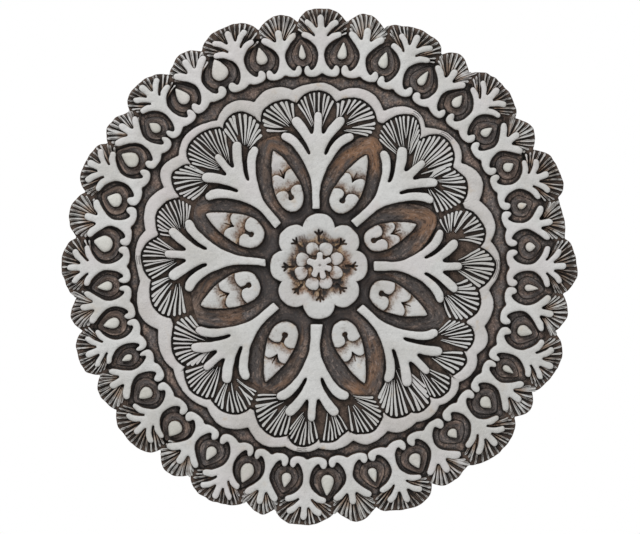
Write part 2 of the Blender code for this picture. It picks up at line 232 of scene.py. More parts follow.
# Each drop: half its width, and its length
DROPS = (
    (3.6, 13.2), (3.8, 12.5), (3.1, 11.8), (4.2, 11.1), (3.5, 9.7), (3.5, 9.0), (2.8, 7.2), (3.5, 7.8),
    (2.5, 10.4), (4.2, 11.8), (3.1, 9.7), (4.2, 10.4), (3.1, 8.6), (4.5, 11.8), (3.1, 11.1), (4.7, 16.0),
    (3.8, 11.8), (5.9, 16.0), (3.8, 11.8), (5.2, 13.2), (4.2, 11.8), (3.5, 9.0), (4.5, 12.5), (4.2, 11.8),
    (5.9, 14.6), (4.9, 11.8), (5.6, 14.6), (4.5, 10.4), (4.9, 14.6), (5.9, 17.4), (4.2, 13.9), (2.8, 11.1),
)
DROP_FOOT = 145.0

# Outlines from the foot up, right half only: edge, then fingers as (tip, tip radius, heading, notch)
TREE_EDGE = (
    (2.2, 0), (2.35, 0.4), (2.4, 2.5), (2.55, 8), (2.85, 14), (4.1, 20),
    (6.0, 24.6), (8.6, 30), (11.6, 35), (15.2, 39.6), (19.4, 43.6),
)
TREE_FINGERS = (
    ((22.3, 48.3), 3.1, 38, (
        (19.2, 50.9), (15.1, 48.4), (10.9, 43.8), (8.0, 39.3), (6.4, 36.2), (4.8, 35.8), (4.9, 38.8),
        (8.6, 45.6), (12.6, 51.0),
    )),
    ((15.3, 59.2), 3.4, 52, (
        (10.8, 59.6), (7.2, 55.0), (5.4, 51.6), (4.1, 50.2), (2.9, 51.2), (2.7, 54.0),
    )),
)
TREE_TOP = ((0, 62.8), 2.8)
FOOT = (
    (0, 1.9), (2.4, 0.0), (7.6, -1.0), (12.2, 0.0), (14.0, 3.4),
    (13.0, 6.9), (10.7, 8.1), (8.8, 6.6), (7.9, 4.2), (6.2, 5.0),
)
LARGE_EDGE = FOOT + ((3.9, 8.2), (2.6, 12.4), (2.4, 16.0), (3.4, 19.6), (6.2, 22.8), (9.7, 25.4))
LARGE_FINGERS = (
    ((12.6, 28.5), 2.4, 30, ((9.6, 30.4), (6.6, 29.4), (4.0, 26.9), (4.4, 28.6), (8.8, 33.2))),
    ((10.4, 36.6), 2.6, 50, ((5.8, 36.8), (3.4, 33.6), (2.6, 33.0), (2.5, 35.4))),
)
LARGE_TOP = ((0, 39.8), 2.8)
SMALL_EDGE = FOOT + ((3.9, 8.2), (2.6, 12.4), (2.4, 15.4), (3.4, 18.6), (6.0, 21.8), (9.2, 24.8))
SMALL_FINGERS = (((10.6, 29.2), 2.6, 42, ((7.0, 30.4), (4.6, 28.0), (2.9, 26.4), (2.6, 28.8))),)
SMALL_TOP = ((0, 33.2), 2.9)

# From the outline of a raised form inwards, as (distance, height above the floor, how clean the slip is)
FIGURE_RISE = (
    (0.0, -1.5, 0.0), (0.12, 0.5, 0.0), (0.26, 2.7, 0.0), (0.42, 3.75, 0.25),
    (0.68, 4.25, 0.8), (1.05, 4.55, 1.0), (1.6, 4.76, 1.0), (2.3, 4.86, 1.0),
)
LEAF_RISE = (
    (0.0, -1.5, 0.0), (0.12, 0.5, 0.0), (0.28, 2.6, 0.0), (0.45, 3.6, 0.25),
    (0.75, 4.15, 0.8), (1.2, 4.5, 1.0), (1.9, 4.75, 1.0), (2.8, 4.9, 1.0),
)
BAND_RISE = (
    (0.0, -1.2, 0.0), (0.12, 0.4, 0.0), (0.3, 2.2, 0.05), (0.55, 3.1, 0.45),
    (0.95, 3.65, 0.9), (1.6, 3.92, 1.0), (2.4, 4.0, 1.0),
)
PAD_RISE = (
    (0.0, -1.6, 0.0), (0.15, 0.0, 0.0), (0.35, 0.7, 0.15),
    (0.7, 1.25, 0.6), (1.3, 1.65, 0.9), (2.2, 1.85, 1.0),
)
FLOWER_RISE = ((0.0, -1.0, 0.0), (0.15, 0.6, 0.1), (0.40, 1.3, 0.7), (0.8, 1.65, 1.0), (1.3, 1.78, 1.0))
# Round the ribs of the fans, from the ground up
FAN_RIB_RISE = ((0.08, 1.0, 0.05), (0.14, 1.55, 0.75), (0.14, 1.75, 1.0))
# Up the side of a drop, as (inset as a share of its half width, height above the floor, how clean)
DROP_RISE = (
    (0.0, -1.5, 0.0), (0.0, 0.3, 0.0), (0.05, 1.8, 0.0), (0.10, 2.7, 0.4), (0.18, 3.3, 0.9),
    (0.30, 3.75, 1.0), (0.45, 4.0, 1.0), (0.62, 4.13, 1.0), (0.80, 4.18, 1.0),
)


class PlaqueSizes(bpy.types.PropertyGroup):
    """Sizes of the carving that a maker would change."""

    floor: FloatProperty(
        name="Floor", description="Height of the recess floors above the wall",
        default=0.0090, unit="LENGTH",
    )
    tremble: FloatProperty(
        name="Tremble", description="How far a hand-drawn line wanders", default=0.00030, unit="LENGTH"
    )
    rib_pitch: FloatProperty(
        name="Rib pitch", description="Space between two ribs of a fan along its edge",
        default=0.0034, unit="LENGTH",
    )
    crown_pitch: FloatProperty(
        name="Crown pitch", description="Space between two ribs along the rim",
        default=0.0038, unit="LENGTH",
    )
    seed: IntProperty(name="Seed", description="Changes the small accidents of the hand", default=7)


class PlaqueColours(bpy.types.PropertyGroup):
    """Colours of the finish."""

    slip: FloatVectorProperty(
        name="Slip", description="Pale slip on the raised carving", subtype="COLOR",
        default=(0.555, 0.555, 0.545),
    )
    wash: FloatVectorProperty(
        name="Wash", description="Dark wash in the crevices", subtype="COLOR",
        default=(0.016, 0.014, 0.013),
    )
    umber: FloatVectorProperty(
        name="Umber", description="Brown of the brushed floors", subtype="COLOR",
        default=(0.102, 0.071, 0.055),
    )
    rust: FloatVectorProperty(
        name="Rust", description="Warm stains", subtype="COLOR", default=(0.205, 0.112, 0.064)
    )
    cream: FloatVectorProperty(
        name="Cream", description="Slip on the drops", subtype="COLOR", default=(0.555, 0.55, 0.515)
    )


# Drawing


def polar(radius, angle):
    """A point from its distance to the centre and its clockwise angle."""
    return Vector((radius * math.sin(math.radians(angle)), radius * math.cos(math.radians(angle))))


def tremble(point, seed=0.0):
    """The wander of a hand-drawn line at a point."""
    reach = bpy.context.scene.plaque_sizes.tremble / MM
    wide = noise.noise_vector(Vector((point.x, point.y, seed)) / 14.0)
    fine = noise.noise_vector(Vector((point.x, point.y, seed + 9.0)) / 4.0)
    return Vector((wide.x + 0.35 * fine.x, wide.y + 0.35 * fine.y)) * reach * 2


def slip_at(angle, slips):
    """How far the pattern has slipped round at a place, eased between the named places."""
    place = (angle % 360) / 360 * len(slips)
    first = int(place) % len(slips)
    share = place - int(place)
    share = share * share * (3 - 2 * share)
    return slips[first] + (slips[(first + 1) % len(slips)] - slips[first]) * share


def slipped(point, slips, centre):
    """A point of the even pattern, moved to where the carver put it."""
    radius, angle = point.length, math.degrees(math.atan2(point.x, point.y))
    there = polar(radius, angle + slip_at(angle, slips)) + centre
    return there + tremble(there)


def in_border(point):
    """A point of the border, or of the rim, where the carver put it."""
    return slipped(point, BORDER_SLIPS, BORDER)


def drawn(point):
    """A point of the pattern with the wander of the hand."""
    return point + tremble(point)


def in_middle(point):
    """A point of the flower in the middle, where the carver put it."""
    there = point + MIDDLE
    return there + tremble(there)


def placed(outline, root, angle, lean=(0.0, 0.0), length=60.0):
    """An outline drawn upright from its foot, set out from the centre and turned clockwise."""
    out, right = polar(1, angle), polar(1, angle + 90)
    start, end = lean
    return [right * (p.x + start + (end - start) * p.y / length) + out * (root + p.y) for p in outline]


def arc(centre, radius, start, end, steps):
    """Points along an arc that runs anticlockwise, both ends included."""
    turns = [math.radians(start + (end - start) * i / steps) for i in range(steps + 1)]
    return [Vector(centre) + radius * Vector((math.cos(a), math.sin(a))) for a in turns]


def mirrored(half):
    """A closed line from its right half."""
    return half + [Vector((-p.x, p.y)) for p in reversed(half) if p.x > 1e-6]


def figure_outline(edge, fingers, top, stretch):
    """A tree or palmette from the right half of its edge, its fingers and its round top."""
    half = [Vector(p) for p in edge]
    for tip, radius, heading, notch in fingers:
        half += arc(tip, radius, heading - 88, heading + 88, 4) + [Vector(p) for p in notch]
    half += arc(top[0], top[1], 0, 90, 2)
    outline = mirrored(half)
    return softened([Vector((p.x, p.y * stretch)) for p in outline], 3)


def softened(outline, rounds):
    """Corners cut again and again, which leaves a smooth closed line."""
    for _ in range(rounds):
        cut = []
        for p, q in zip(outline, outline[1:] + outline[:1]):
            cut += [p.lerp(q, 0.25), p.lerp(q, 0.75)]
        outline = cut
    return outline


def eased(line, rounds):
    """The same for an open line, which keeps its ends."""
    for _ in range(rounds):
        cut = [line[0]]
        for p, q in zip(line, line[1:]):
            cut += [p.lerp(q, 0.25), p.lerp(q, 0.75)]
        line = [*cut, line[-1]]
    return line


def evened(outline, spacing):
    """The same closed line with its points at an even spacing."""
    ring = outline + outline[:1]
    lengths = [(q - p).length for p, q in zip(ring, ring[1:])]
    total = sum(lengths)
    count = max(8, round(total / spacing))
    made, index, walked = [], 0, 0.0
    for i in range(count):
        goal = total * i / count
        while walked + lengths[index] < goal:
            walked += lengths[index]
            index += 1
        made.append(ring[index].lerp(ring[index + 1], (goal - walked) / max(lengths[index], 1e-9)))
    return made


def grown(outline, by):
    """A closed anticlockwise line moved outwards all round."""
    made = []
    count = len(outline)
    for i, p in enumerate(outline):
        along = outline[(i + 1) % count] - outline[i - 1]
        made.append(p + Vector((along.y, -along.x)).normalized() * by)
    return made


def inside(point, outline):
    """Whether a point is within a closed line."""
    x, y, odd = point.x, point.y, False
    before = outline[-1]
    for p in outline:
        if (p.y > y) != (before.y > y) and x < (before.x - p.x) * (y - p.y) / (before.y - p.y) + p.x:
            odd = not odd
        before = p
    return odd


def nearness(line, spacing=0.2, closed=True):
    """Something to ask how far a point is from a line."""
    points = evened(line, spacing) if closed else followed(line, spacing)
    tree = kdtree.KDTree(len(points))
    for i, p in enumerate(points):
        tree.insert((p.x, p.y, 0.0), i)
    tree.balance()
    return lambda point: tree.find((point.x, point.y, 0.0))[2]


def followed(line, spacing):
    """Points along an open line, at about an even spacing."""
    made = []
    for p, q in zip(line, line[1:]):
        count = max(1, round((q - p).length / spacing))
        made += [p.lerp(q, i / count) for i in range(count)]
    return made + [line[-1]]


def anticlockwise(outline):
    """A closed line in the order that makes its face look out of the wall."""
    area = sum(p.x * q.y - q.x * p.y for p, q in zip(outline, outline[1:] + outline[:1]))
    return outline if area > 0 else outline[::-1]


# Modelling


class Clay:
    """A mesh being built face on, with a clean share of slip kept at each point."""

    def __init__(self):
        noise.seed_set(bpy.context.scene.plaque_sizes.seed)
        self.bm = bmesh.new()
        self.slip = self.bm.verts.layers.float.new("slip")
        self.grain = self.bm.verts.layers.float_vector.new("grain")

    def face(self, outline, height):
        """A flat face with this outline, looking out of the wall."""
        corners = [self.bm.verts.new((p.x, p.y, height)) for p in anticlockwise(outline)]
        return self.bm.faces.new(corners)

    def step(self, face, inset, rise, clean):
        """Draws a face in and up, and mends the line where it would cross itself."""
        before = [v.co.copy() for v in face.verts]
        bmesh.ops.inset_region(
            self.bm, faces=[face], thickness=inset, depth=0.0, use_even_offset=True, use_boundary=True
        )
        ring = list(face.verts)
        count = len(ring)
        for v, start in zip(ring, before):
            moved = v.co - start
            if moved.length > 1.6 * inset:
                v.co = start + moved.normalized() * 1.6 * inset
        for _ in range(12):
            crossed = set()
            for i in range(count):
                j = (i + 1) % count
                along = before[j] - before[i]
                if (ring[j].co - ring[i].co).dot(along) < 0.15 * along.length_squared:
                    crossed.update((i, j))
            if not crossed:
                break
            for i in crossed:
                ring[i].co = ring[i].co.lerp(before[i], 0.45)
        for v in ring:
            v.co.z += rise
            v[self.slip] = clean

    def raised(self, outline, base, floor, profile):
        """A solid figure that rises from below the floor by a profile. Gives its points."""
        first = len(self.bm.verts)
        face = self.face(outline, base)
        bmesh.ops.reverse_faces(self.bm, faces=[face])
        made = bmesh.ops.extrude_face_region(self.bm, geom=[face], use_keep_orig=True)
        top = next(g for g in made["geom"] if isinstance(g, bmesh.types.BMFace))
        top.normal_update()
        if top.normal.z < 0:
            top.normal_flip()
            top.normal_update()
        for v in top.verts:
            v.co.z = floor
        height = floor
        for inset, up, clean in profile:
            self.step(top, inset, floor + up - height, clean)
            height = floor + up
        top.smooth = False
        self.bm.verts.ensure_lookup_table()
        return [self.bm.verts[i] for i in range(first, len(self.bm.verts))]

    def pillow(
        self, outline, floor, rise, spacing=0.55, grow=0.0, height=None, more=(), place=None, pitch=2.4
    ):
        """A solid figure with a softly rounded top, which rises from its outline by the distance to it.

        A height function may lower the top in places, more gives it points to follow, and place sets the
        finished figure out.
        """
        line = evened(anticlockwise(outline), spacing)
        if grow:
            off = nearness(line)
            line = evened([p for p in grown(line, grow) if off(p) > 0.93 * grow], spacing)
        away = nearness(line)
        marks = [(p, rise[0][1], rise[0][2]) for p in line]
        for distance, up, clean in rise[1:]:
            for p in grown(line, -distance):
                if away(p) > 0.93 * distance:
                    marks.append((p, up, clean))
        last, top, _ = rise[-1]
        inner = [p for p in more if inside(p, line) and away(p) > 0.5]
        left, right = min(p.x for p in line), max(p.x for p in line)
        low, high = min(p.y for p in line), max(p.y for p in line)
        for i in range(int((right - left) / pitch) + 1):
            for j in range(int((high - low) / pitch) + 1):
                p = Vector((left + i * pitch + 0.37 * pitch * (j % 2), low + j * pitch))
                if inside(p, line) and away(p) > last + 0.25 * pitch:
                    inner.append(p)
        for p in inner:
            marks.append((p, self.risen(rise, away(p))[0], 1.0))
        count = len(line)
        edges = [(i, (i + 1) % count) for i in range(count)]
        flat = [mark[0] for mark in marks]
        points, _, faces, origins, _, _ = geometry.delaunay_2d_cdt(flat, edges, [], 1, 1e-4)
        made = []
        for p, origin in zip(points, origins):
            _, up, clean = marks[origin[0]] if origin else (p, rise[0][1], 0.0)
            if height and up > rise[2][1]:
                up = min(up, height(p))
            there = place(p) if place else p
            if up > top - 0.6:
                up += 0.11 * noise.noise(Vector((there.x, there.y, 4.0)) / 5.5)
            v = self.bm.verts.new((there.x, there.y, floor + up))
            v[self.slip] = clean
            made.append(v)
        skin = []
        for corners in faces:
            face = self.bm.faces.new([made[i] for i in corners])
            face.normal_update()
            skin.append(face)
        if sum(f.normal.z for f in skin) < 0:
            bmesh.ops.reverse_faces(self.bm, faces=skin)
        rim = [e for f in skin for e in f.edges if e.is_boundary]
        bmesh.ops.holes_fill(self.bm, edges=list(set(rim)), sides=0)

    def risen(self, rise, distance):
        """The height, and how clean the slip is, that a rise reaches at a distance from the outline."""
        for (near, low, dull), (far, high, clean) in zip(rise, rise[1:]):
            if distance < far:
                share = (distance - near) / (far - near)
                return low + (high - low) * share, dull + (clean - dull) * share
        return rise[-1][1:]

    def loft(self, rings, cleans, caps=False):
        """A skin over rings of as many (x, y, z) points, each ring with its clean share of slip."""
        loops = []
        for ring, clean in zip(rings, cleans):
            loop = [self.bm.verts.new(p) for p in ring]
            for v in loop:
                v[self.slip] = clean
            loops.append(loop)
        count = len(loops[0])
        for lower, upper in zip(loops, loops[1:]):
            for i in range(count):
                j = (i + 1) % count
                self.bm.faces.new((lower[i], lower[j], upper[j], upper[i])).smooth = True
        if caps:
            self.bm.faces.new(loops[0][::-1]).smooth = False
            self.bm.faces.new(loops[-1]).smooth = False
        return loops

    def strips(self, loops):
        """A sheet over open rows of points, looking out of the wall."""
        for inner, outer in zip(loops, loops[1:]):
            for i in range(len(inner) - 1):
                face = self.bm.faces.new((inner[i], outer[i], outer[i + 1], inner[i + 1]))
                face.normal_update()
                if face.normal.z < 0:
                    face.normal_flip()
                face.smooth = True

    def join_ends(self):
        """Closes a skin from below, between its first ring and its last."""
        bmesh.ops.bridge_loops(self.bm, edges=[e for e in self.bm.edges if e.is_boundary])

    def thicken(self):
        """Gives an open sheet an underside and square edges, so that it is solid clay."""
        made = bmesh.ops.extrude_face_region(self.bm, geom=self.bm.faces[:])
        under = [g for g in made["geom"] if isinstance(g, bmesh.types.BMVert)]
        bmesh.ops.translate(self.bm, vec=(0, 0, -LINING), verts=under)
        self.bm.normal_update()
        for f in self.bm.faces:
            f.smooth = abs(f.normal.z) > 0.3

    def finish(self, name, materials, sheet=False):
        """The finished piece, stood upright and riding with the plaque."""
        for f in self.bm.faces:
            if len(f.verts) <= 4:
                f.smooth = True
        bmesh.ops.remove_doubles(self.bm, verts=self.bm.verts, dist=0.0005)
        if sheet:
            self.thicken()
        bmesh.ops.recalc_face_normals(self.bm, faces=self.bm.faces)
        upright = Matrix.Rotation(math.radians(90), 4, "X") @ Matrix.Scale(MM, 4)
        bmesh.ops.transform(self.bm, matrix=upright, verts=self.bm.verts)
        mesh = bpy.data.meshes.new(name)
        self.bm.to_mesh(mesh)
        self.bm.free()
        piece = bpy.data.objects.new(name, mesh)
        bpy.context.scene.collection.objects.link(piece)
        for material in materials:
            mesh.materials.append(finish_named(material))
        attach(piece, "root")
        return piece


# Finishes


def tone(colour, *by):
    """A colour made lighter or darker, by one share or by one each for red, green and blue."""
    return tuple(c * share for c, share in zip(colour, by if len(by) == 3 else by * 3))


class Finish:
    """A material being built, with short calls for the nodes that it uses."""

    def __init__(self, name):
        self.material = bpy.data.materials.new(name)
        self.material.use_nodes = True
        self.tree = self.material.node_tree
        self.shader = self.tree.nodes["Principled BSDF"]
        self.place = self.node("ShaderNodeTexCoord").outputs["Object"]

    def node(self, kind, **settings):
        """A new node with these settings."""
        made = self.tree.nodes.new(kind)
        for key, value in settings.items():
            setattr(made, key, value)
        return made

    def link(self, source, target):
        """Feeds an input from another node, or sets it to a plain value."""
        if hasattr(source, "is_output"):
            self.tree.links.new(source, target)
        elif isinstance(source, (tuple, list)):
            short = len(source) < len(target.default_value)
            target.default_value = (*source, 1) if short else source
        else:
            target.default_value = source

    def maths(self, operation, first, second):
        made = self.node("ShaderNodeMath", operation=operation)
        self.link(first, made.inputs[0])
        self.link(second, made.inputs[1])
        return made.outputs[0]

    def plus(self, first, second):
        return self.maths("ADD", first, second)

    def times(self, first, second):
        return self.maths("MULTIPLY", first, second)

    def swing(self, noise, reach):
        """Noise made a push up or down, of at most half of reach."""
        return self.times(self.maths("SUBTRACT", noise, 0.5), reach)

    def between(self, value, low, high):
        """0 below low, 1 above high, eased between them."""
        made = self.node("ShaderNodeMapRange", interpolation_type="SMOOTHSTEP")
        self.link(value, made.inputs["Value"])
        self.link(low, made.inputs["From Min"])
        self.link(high, made.inputs["From Max"])
        return made.outputs["Result"]

    def mottle(self, size, detail=3.0, rough=0.55, place=None, stretch=None):
        """Noise with blotches about size metres across."""
        source = place or self.place
        if stretch:
            mapping = self.node("ShaderNodeMapping")
            self.link(source, mapping.inputs["Vector"])
            mapping.inputs["Scale"].default_value = stretch
            source = mapping.outputs["Vector"]
        made = self.node("ShaderNodeTexNoise")
        self.link(source, made.inputs["Vector"])
        made.inputs["Scale"].default_value = 1 / size
        made.inputs["Detail"].default_value = detail
        made.inputs["Roughness"].default_value = rough
        return made.outputs["Fac"]

    def mix(self, share, first, second):
        """The first colour where share is 0, and the second where it is 1."""
        made = self.node("ShaderNodeMix", data_type="RGBA")
        self.link(share, made.inputs["Factor"])
        self.link(first, made.inputs[6])
        self.link(second, made.inputs[7])
        return made.outputs[2]

    def laid(self, base, colour, where, strength):
        """The base with a colour laid over it at this strength, where the mask is 1."""
        return self.mix(self.times(where, strength), base, colour)

    def attribute(self, name, vector=False):
        """What the points of the mesh carry under this name."""
        made = self.node("ShaderNodeAttribute", attribute_name=name)
        return made.outputs["Vector" if vector else "Fac"]

    def height(self):
        """Millimetres out from the wall."""
        split = self.node("ShaderNodeSeparateXYZ")
        self.link(self.place, split.inputs[0])
        return self.times(split.outputs["Y"], -1 / MM)

    def from_centre(self):
        """Metres from the centre of the back."""
        made = self.node("ShaderNodeVectorMath", operation="LENGTH")
        self.link(self.place, made.inputs[0])
        return made.outputs["Value"]

    def crevice(self, reach):
        """How open the place is: 1 in the open, 0 deep in a crevice."""
        made = self.node("ShaderNodeAmbientOcclusion", samples=12)
        made.inputs["Distance"].default_value = reach
        return made.outputs["AO"]

    def bump(self, height, depth, under=None):
        """Fine relief, over a coarser one if that is given."""
        made = self.node("ShaderNodeBump")
        made.inputs["Distance"].default_value = depth
        made.inputs["Strength"].default_value = 1.0
        self.link(height, made.inputs["Height"])
        if under:
            self.link(under, made.inputs["Normal"])
        return made.outputs["Normal"]


    def surface(self, colour, roughness, gloss, relief):
        """The finished material, with these joined to its shader."""
        self.link(colour, self.shader.inputs["Base Color"])
        self.link(roughness, self.shader.inputs["Roughness"])
        self.link(gloss, self.shader.inputs["Specular IOR Level"])
        self.link(relief, self.shader.inputs["Normal"])
        return self.material


def slipped_clay(name, slip, warm=0.25, wash_line=0.45, stain=None, ragged=1.0, thin=None):
    """Pale slip on the raised faces, worn to dark wash on the sides and in the crevices.

    The wash line is how clean the slip has to be to show, and ragged how frayed it ends there. Stain is the
    two heights between which brown gives way to slip, and thin is the colour of slip that is nearly gone.
    """
    colours = bpy.context.scene.plaque_colours
    wash, umber, rust = tuple(colours.wash), tuple(colours.umber), tuple(colours.rust)
    f = Finish(name)
    broad, blotch, fine = f.mottle(0.035), f.mottle(0.005, 4.0, 0.6), f.mottle(0.0012, 4.0, 0.65)
    clean = f.attribute("slip")
    frayed = f.plus(f.swing(fine, 0.9 * ragged), f.swing(blotch, 0.5 * ragged))
    cover = f.between(f.plus(clean, frayed), wash_line - 0.18, wash_line + 0.22)
    cover = f.times(cover, f.between(f.crevice(0.0024), 0.50, 0.86))
    pale = f.mix(f.between(broad, 0.38, 0.66), slip, tone(slip, 0.84, 0.825, 0.80))
    pale = f.laid(pale, tone(slip, 0.86), f.between(blotch, 0.42, 0.68), 0.45)
    pale = f.laid(pale, tone(slip, 0.66), f.between(fine, 0.50, 0.74), 0.42)
    pale = f.laid(pale, tone(slip, 1.12), f.between(fine, 0.48, 0.28), 0.35)
    pale = f.laid(pale, (0.44, 0.34, 0.23), f.between(f.mottle(0.012, 3.0, 0.6), 0.58, 0.78), warm)
    pale = f.laid(pale, tone(slip, 0.97, 0.91, 0.93), f.between(f.mottle(0.045), 0.48, 0.66), 0.5)
    if thin:
        left = f.plus(clean, f.swing(f.mottle(0.012, 3.0, 0.6), 0.9))
        pale = f.mix(f.between(left, 0.50, 0.92), thin, pale)
    if stain:
        low, high = stain
        sunk = f.plus(f.height(), f.swing(f.mottle(0.011, 2.0, 0.5), 2.2))
        sunk = f.plus(f.plus(sunk, f.swing(blotch, 2.6)), f.swing(fine, 2.2))
        brown = f.mix(f.between(broad, 0.3, 0.7), umber, rust)
        brown = f.laid(brown, (0.36, 0.235, 0.12), f.between(blotch, 0.50, 0.66), 0.75)
        brown = f.laid(brown, (0.03, 0.022, 0.018), f.between(fine, 0.46, 0.36), 0.8)
        stained = f.mix(f.between(sunk, low - 0.5, low + 0.3), wash, brown)
        pale = f.mix(f.between(sunk, low, high), stained, pale)
    edge = f.mix(f.between(blotch, 0.35, 0.65), wash, tone(rust, 0.35))
    roughness = f.maths("SUBTRACT", 0.92, f.times(cover, 0.22))
    soft = f.bump(f.mottle(0.009, 2.0), 0.0011)
    relief = f.bump(f.plus(fine, f.times(blotch, 1.6)), 0.00030, soft)
    return f.surface(f.mix(cover, edge, pale), roughness, 0.32, relief)


def brushed_floor(name, rust, grained=False, light=1.0):
    """Floor of a recess: umber and rust brushed over dark wash, darkest by the walls and near the rosette."""
    colours = bpy.context.scene.plaque_colours
    wash, umber = tuple(colours.wash), tuple(colours.umber)
    f = Finish(name)
    if grained:
        grain = f.attribute("grain", vector=True)
        streak = f.mottle(0.0012, 4.0, 0.65, grain, (1.0, 0.17, 1.0))
        drag = f.mottle(0.0045, 3.0, 0.6, grain, (1.0, 0.22, 1.0))
        speck = f.mottle(0.0015, 2.0, 0.6, grain, (1.0, 0.45, 1.0))
    else:
        streak = f.mottle(0.0016, 4.0, 0.6)
        drag = f.mottle(0.006, 3.0, 0.6)
        speck = f.mottle(0.0015, 2.0, 0.6)
    patch, fine = f.mottle(0.030, 3.0, 0.5), f.mottle(0.0009, 4.0, 0.6)
    rusted = f.attribute("slip")
    pale = tone((0.255, 0.197, 0.168), light)
    base = f.mix(f.between(drag, 0.40, 0.66), tone((0.074, 0.066, 0.064), light), tone(umber, light))
    rusty = f.between(f.plus(patch, f.swing(drag, 0.5)), 0.50, 0.66)
    base = f.laid(base, rust, rusty, f.plus(0.5, f.times(rusted, 0.5)))
    warmth = f.times(rusted, f.times(drag, 1.3))
    base = f.laid(base, (0.245, 0.128, 0.066), f.between(warmth, 0.25, 0.80), 0.85)
    base = f.laid(base, pale, f.between(drag, 0.52, 0.72), 0.40)
    base = f.laid(base, (0.028, 0.023, 0.021), f.between(streak, 0.44, 0.62), 0.50)
    base = f.laid(base, pale, f.between(fine, 0.52, 0.72), 0.38)
    base = f.laid(base, tone(pale, 1.25), f.between(speck, 0.57, 0.66), 0.40)
    base = f.laid(base, (0.022, 0.018, 0.017), f.between(speck, 0.42, 0.34), 0.75)
    sooty = f.between(f.plus(f.from_centre(), f.swing(drag, 0.012)), 0.054, 0.040)
    base = f.laid(base, (0.040, 0.036, 0.036), sooty, 0.75)
    base = f.mix(f.between(f.crevice(0.0080), 0.0, 0.34), tone(umber, 0.45), base)
    lined = f.between(f.plus(f.crevice(0.0032), f.swing(fine, 0.45)), 0.65, 0.96)
    roughness = f.maths("SUBTRACT", 0.95, f.times(streak, 0.25))
    relief = f.bump(f.plus(streak, f.times(fine, 0.6)), 0.00035)
    return f.surface(f.mix(lined, wash, base), roughness, 0.25, relief)


def washed_ground(name):
    """Ground between the ribs: dark wash with a little brown in it."""
    colours = bpy.context.scene.plaque_colours
    umber = tuple(colours.umber)
    f = Finish(name)
    blotch, fine = f.mottle(0.005, 4.0), f.mottle(0.0010, 4.0, 0.6)
    brown = f.mix(f.between(fine, 0.45, 0.72), tone(umber, 0.6), tone(umber, 1.5))
    colour = f.mix(f.between(blotch, 0.36, 0.58), tone(umber, 0.30), brown)
    colour = f.mix(f.between(f.crevice(0.0028), 0.55, 0.95), tuple(colours.wash), colour)
    return f.surface(colour, 0.9, 0.25, f.bump(f.plus(fine, blotch), 0.0003))


def bare_back(name):
    """The unglazed back and edge: dark clay, dusty and scraped, with painted shade laid into its hollows."""
    f = Finish(name)
    broad, fine = f.mottle(0.025, 4.0), f.mottle(0.0014, 5.0, 0.6)
    scrape = f.mottle(0.004, 4.0, 0.6, None, (1.0, 1.0, 0.06))
    colour = f.mix(f.between(broad, 0.35, 0.68), (0.115, 0.086, 0.068), (0.175, 0.135, 0.108))
    colour = f.laid(colour, (0.25, 0.205, 0.17), f.between(scrape, 0.48, 0.72), 0.55)
    colour = f.laid(colour, (0.07, 0.052, 0.042), f.between(fine, 0.5, 0.75), 0.4)
    # Painted shade: near-black laid into the nail pocket and the other hollows of the back, darkest where a
    # place is most closed in.
    colour = f.mix(f.between(f.crevice(0.006), 0.3, 0.8), (0.02, 0.017, 0.015), colour)
    return f.surface(colour, 0.93, 0.25, f.bump(f.plus(fine, scrape), 0.0004))


def pale_floor(name):
    """The plain floor of the studio."""
    f = Finish(name)
    f.link(f.mix(f.mottle(0.3), (0.70, 0.70, 0.69), (0.74, 0.74, 0.73)), f.shader.inputs["Base Color"])
    f.shader.inputs["Roughness"].default_value = 0.8
    return f.material


def finish_named(name):
    """The material of this name, made the first time that it is asked for."""
    if name in bpy.data.materials:
        return bpy.data.materials[name]
    colours = bpy.context.scene.plaque_colours
    slip, cream, rust = tuple(colours.slip), tuple(colours.cream), tuple(colours.rust)
    maker, settings = {
        "pale slip": (slipped_clay, {"slip": slip}),
        "worn slip": (slipped_clay, {
            "slip": tone(slip, 0.93), "warm": 0.45, "wash_line": 0.55, "ragged": 1.5,
        }),
        "thin slip": (slipped_clay, {
            "slip": tone(slip, 0.90), "warm": 0.6, "wash_line": 0.40, "ragged": 1.3,
            "thin": (0.25, 0.185, 0.14),
        }),
        "handled slip": (slipped_clay, {"slip": (0.525, 0.51, 0.50), "warm": 0.7, "ragged": 1.5}),
        "stained slip": (slipped_clay, {"slip": tone(slip, 0.94), "warm": 0.6, "stain": (12.0, 13.75)}),
        "cream slip": (slipped_clay, {"slip": cream, "warm": 0.6}),
        "washed ground": (washed_ground, {}),
        "brushed floor": (brushed_floor, {"rust": (0.175, 0.122, 0.104), "light": 1.7}),
        "brushed hollow": (brushed_floor, {"rust": (0.165, 0.115, 0.096), "grained": True, "light": 1.45}),
        "brushed trough": (brushed_floor, {"rust": rust, "grained": True}),
        "bare back": (bare_back, {}),
        "pale floor": (pale_floor, {}),
    }[name]
    return maker(name, **settings)


# Pieces


def rim_radius(angle):
    """The lobed outer edge: broad lobes over the large palmettes and lower, pointed ones over the small."""
    broad = 0.59
    turn = math.radians(angle)
    around = Vector((math.cos(turn), math.sin(turn), 0.3))
    place = (angle + 2.4 * noise.noise(around * 5.5 + Vector((3, 0, 0)))) % 360 / (2 * PALMETTE_PITCH)
    notch = RIM_NOTCH + 2.2 * noise.noise(around * 5)
    off = abs(place - round(place)) * 2
    if off < broad:
        across = off / broad
        crest = RIM_CREST + 0.4 * math.sin(2.3 * round(place))
        share = 1 - 0.58 * across**2 - 0.42 * across**7
    else:
        across = (1 - off) / (1 - broad)
        crest = SMALL_CRESTS[int(place) % len(SMALL_CRESTS)]
        share = 1 - across**1.9
    lump = 1.7 * noise.noise(around * 9) + 0.9 * noise.noise(around * 31)
    return min(RIM_CREST, notch + (crest - notch) * share + lump)


def fan_edge(edge):
    """The edge of a fan as a soft line."""
    return eased([polar(radius, angle) for angle, radius in edge], 2)


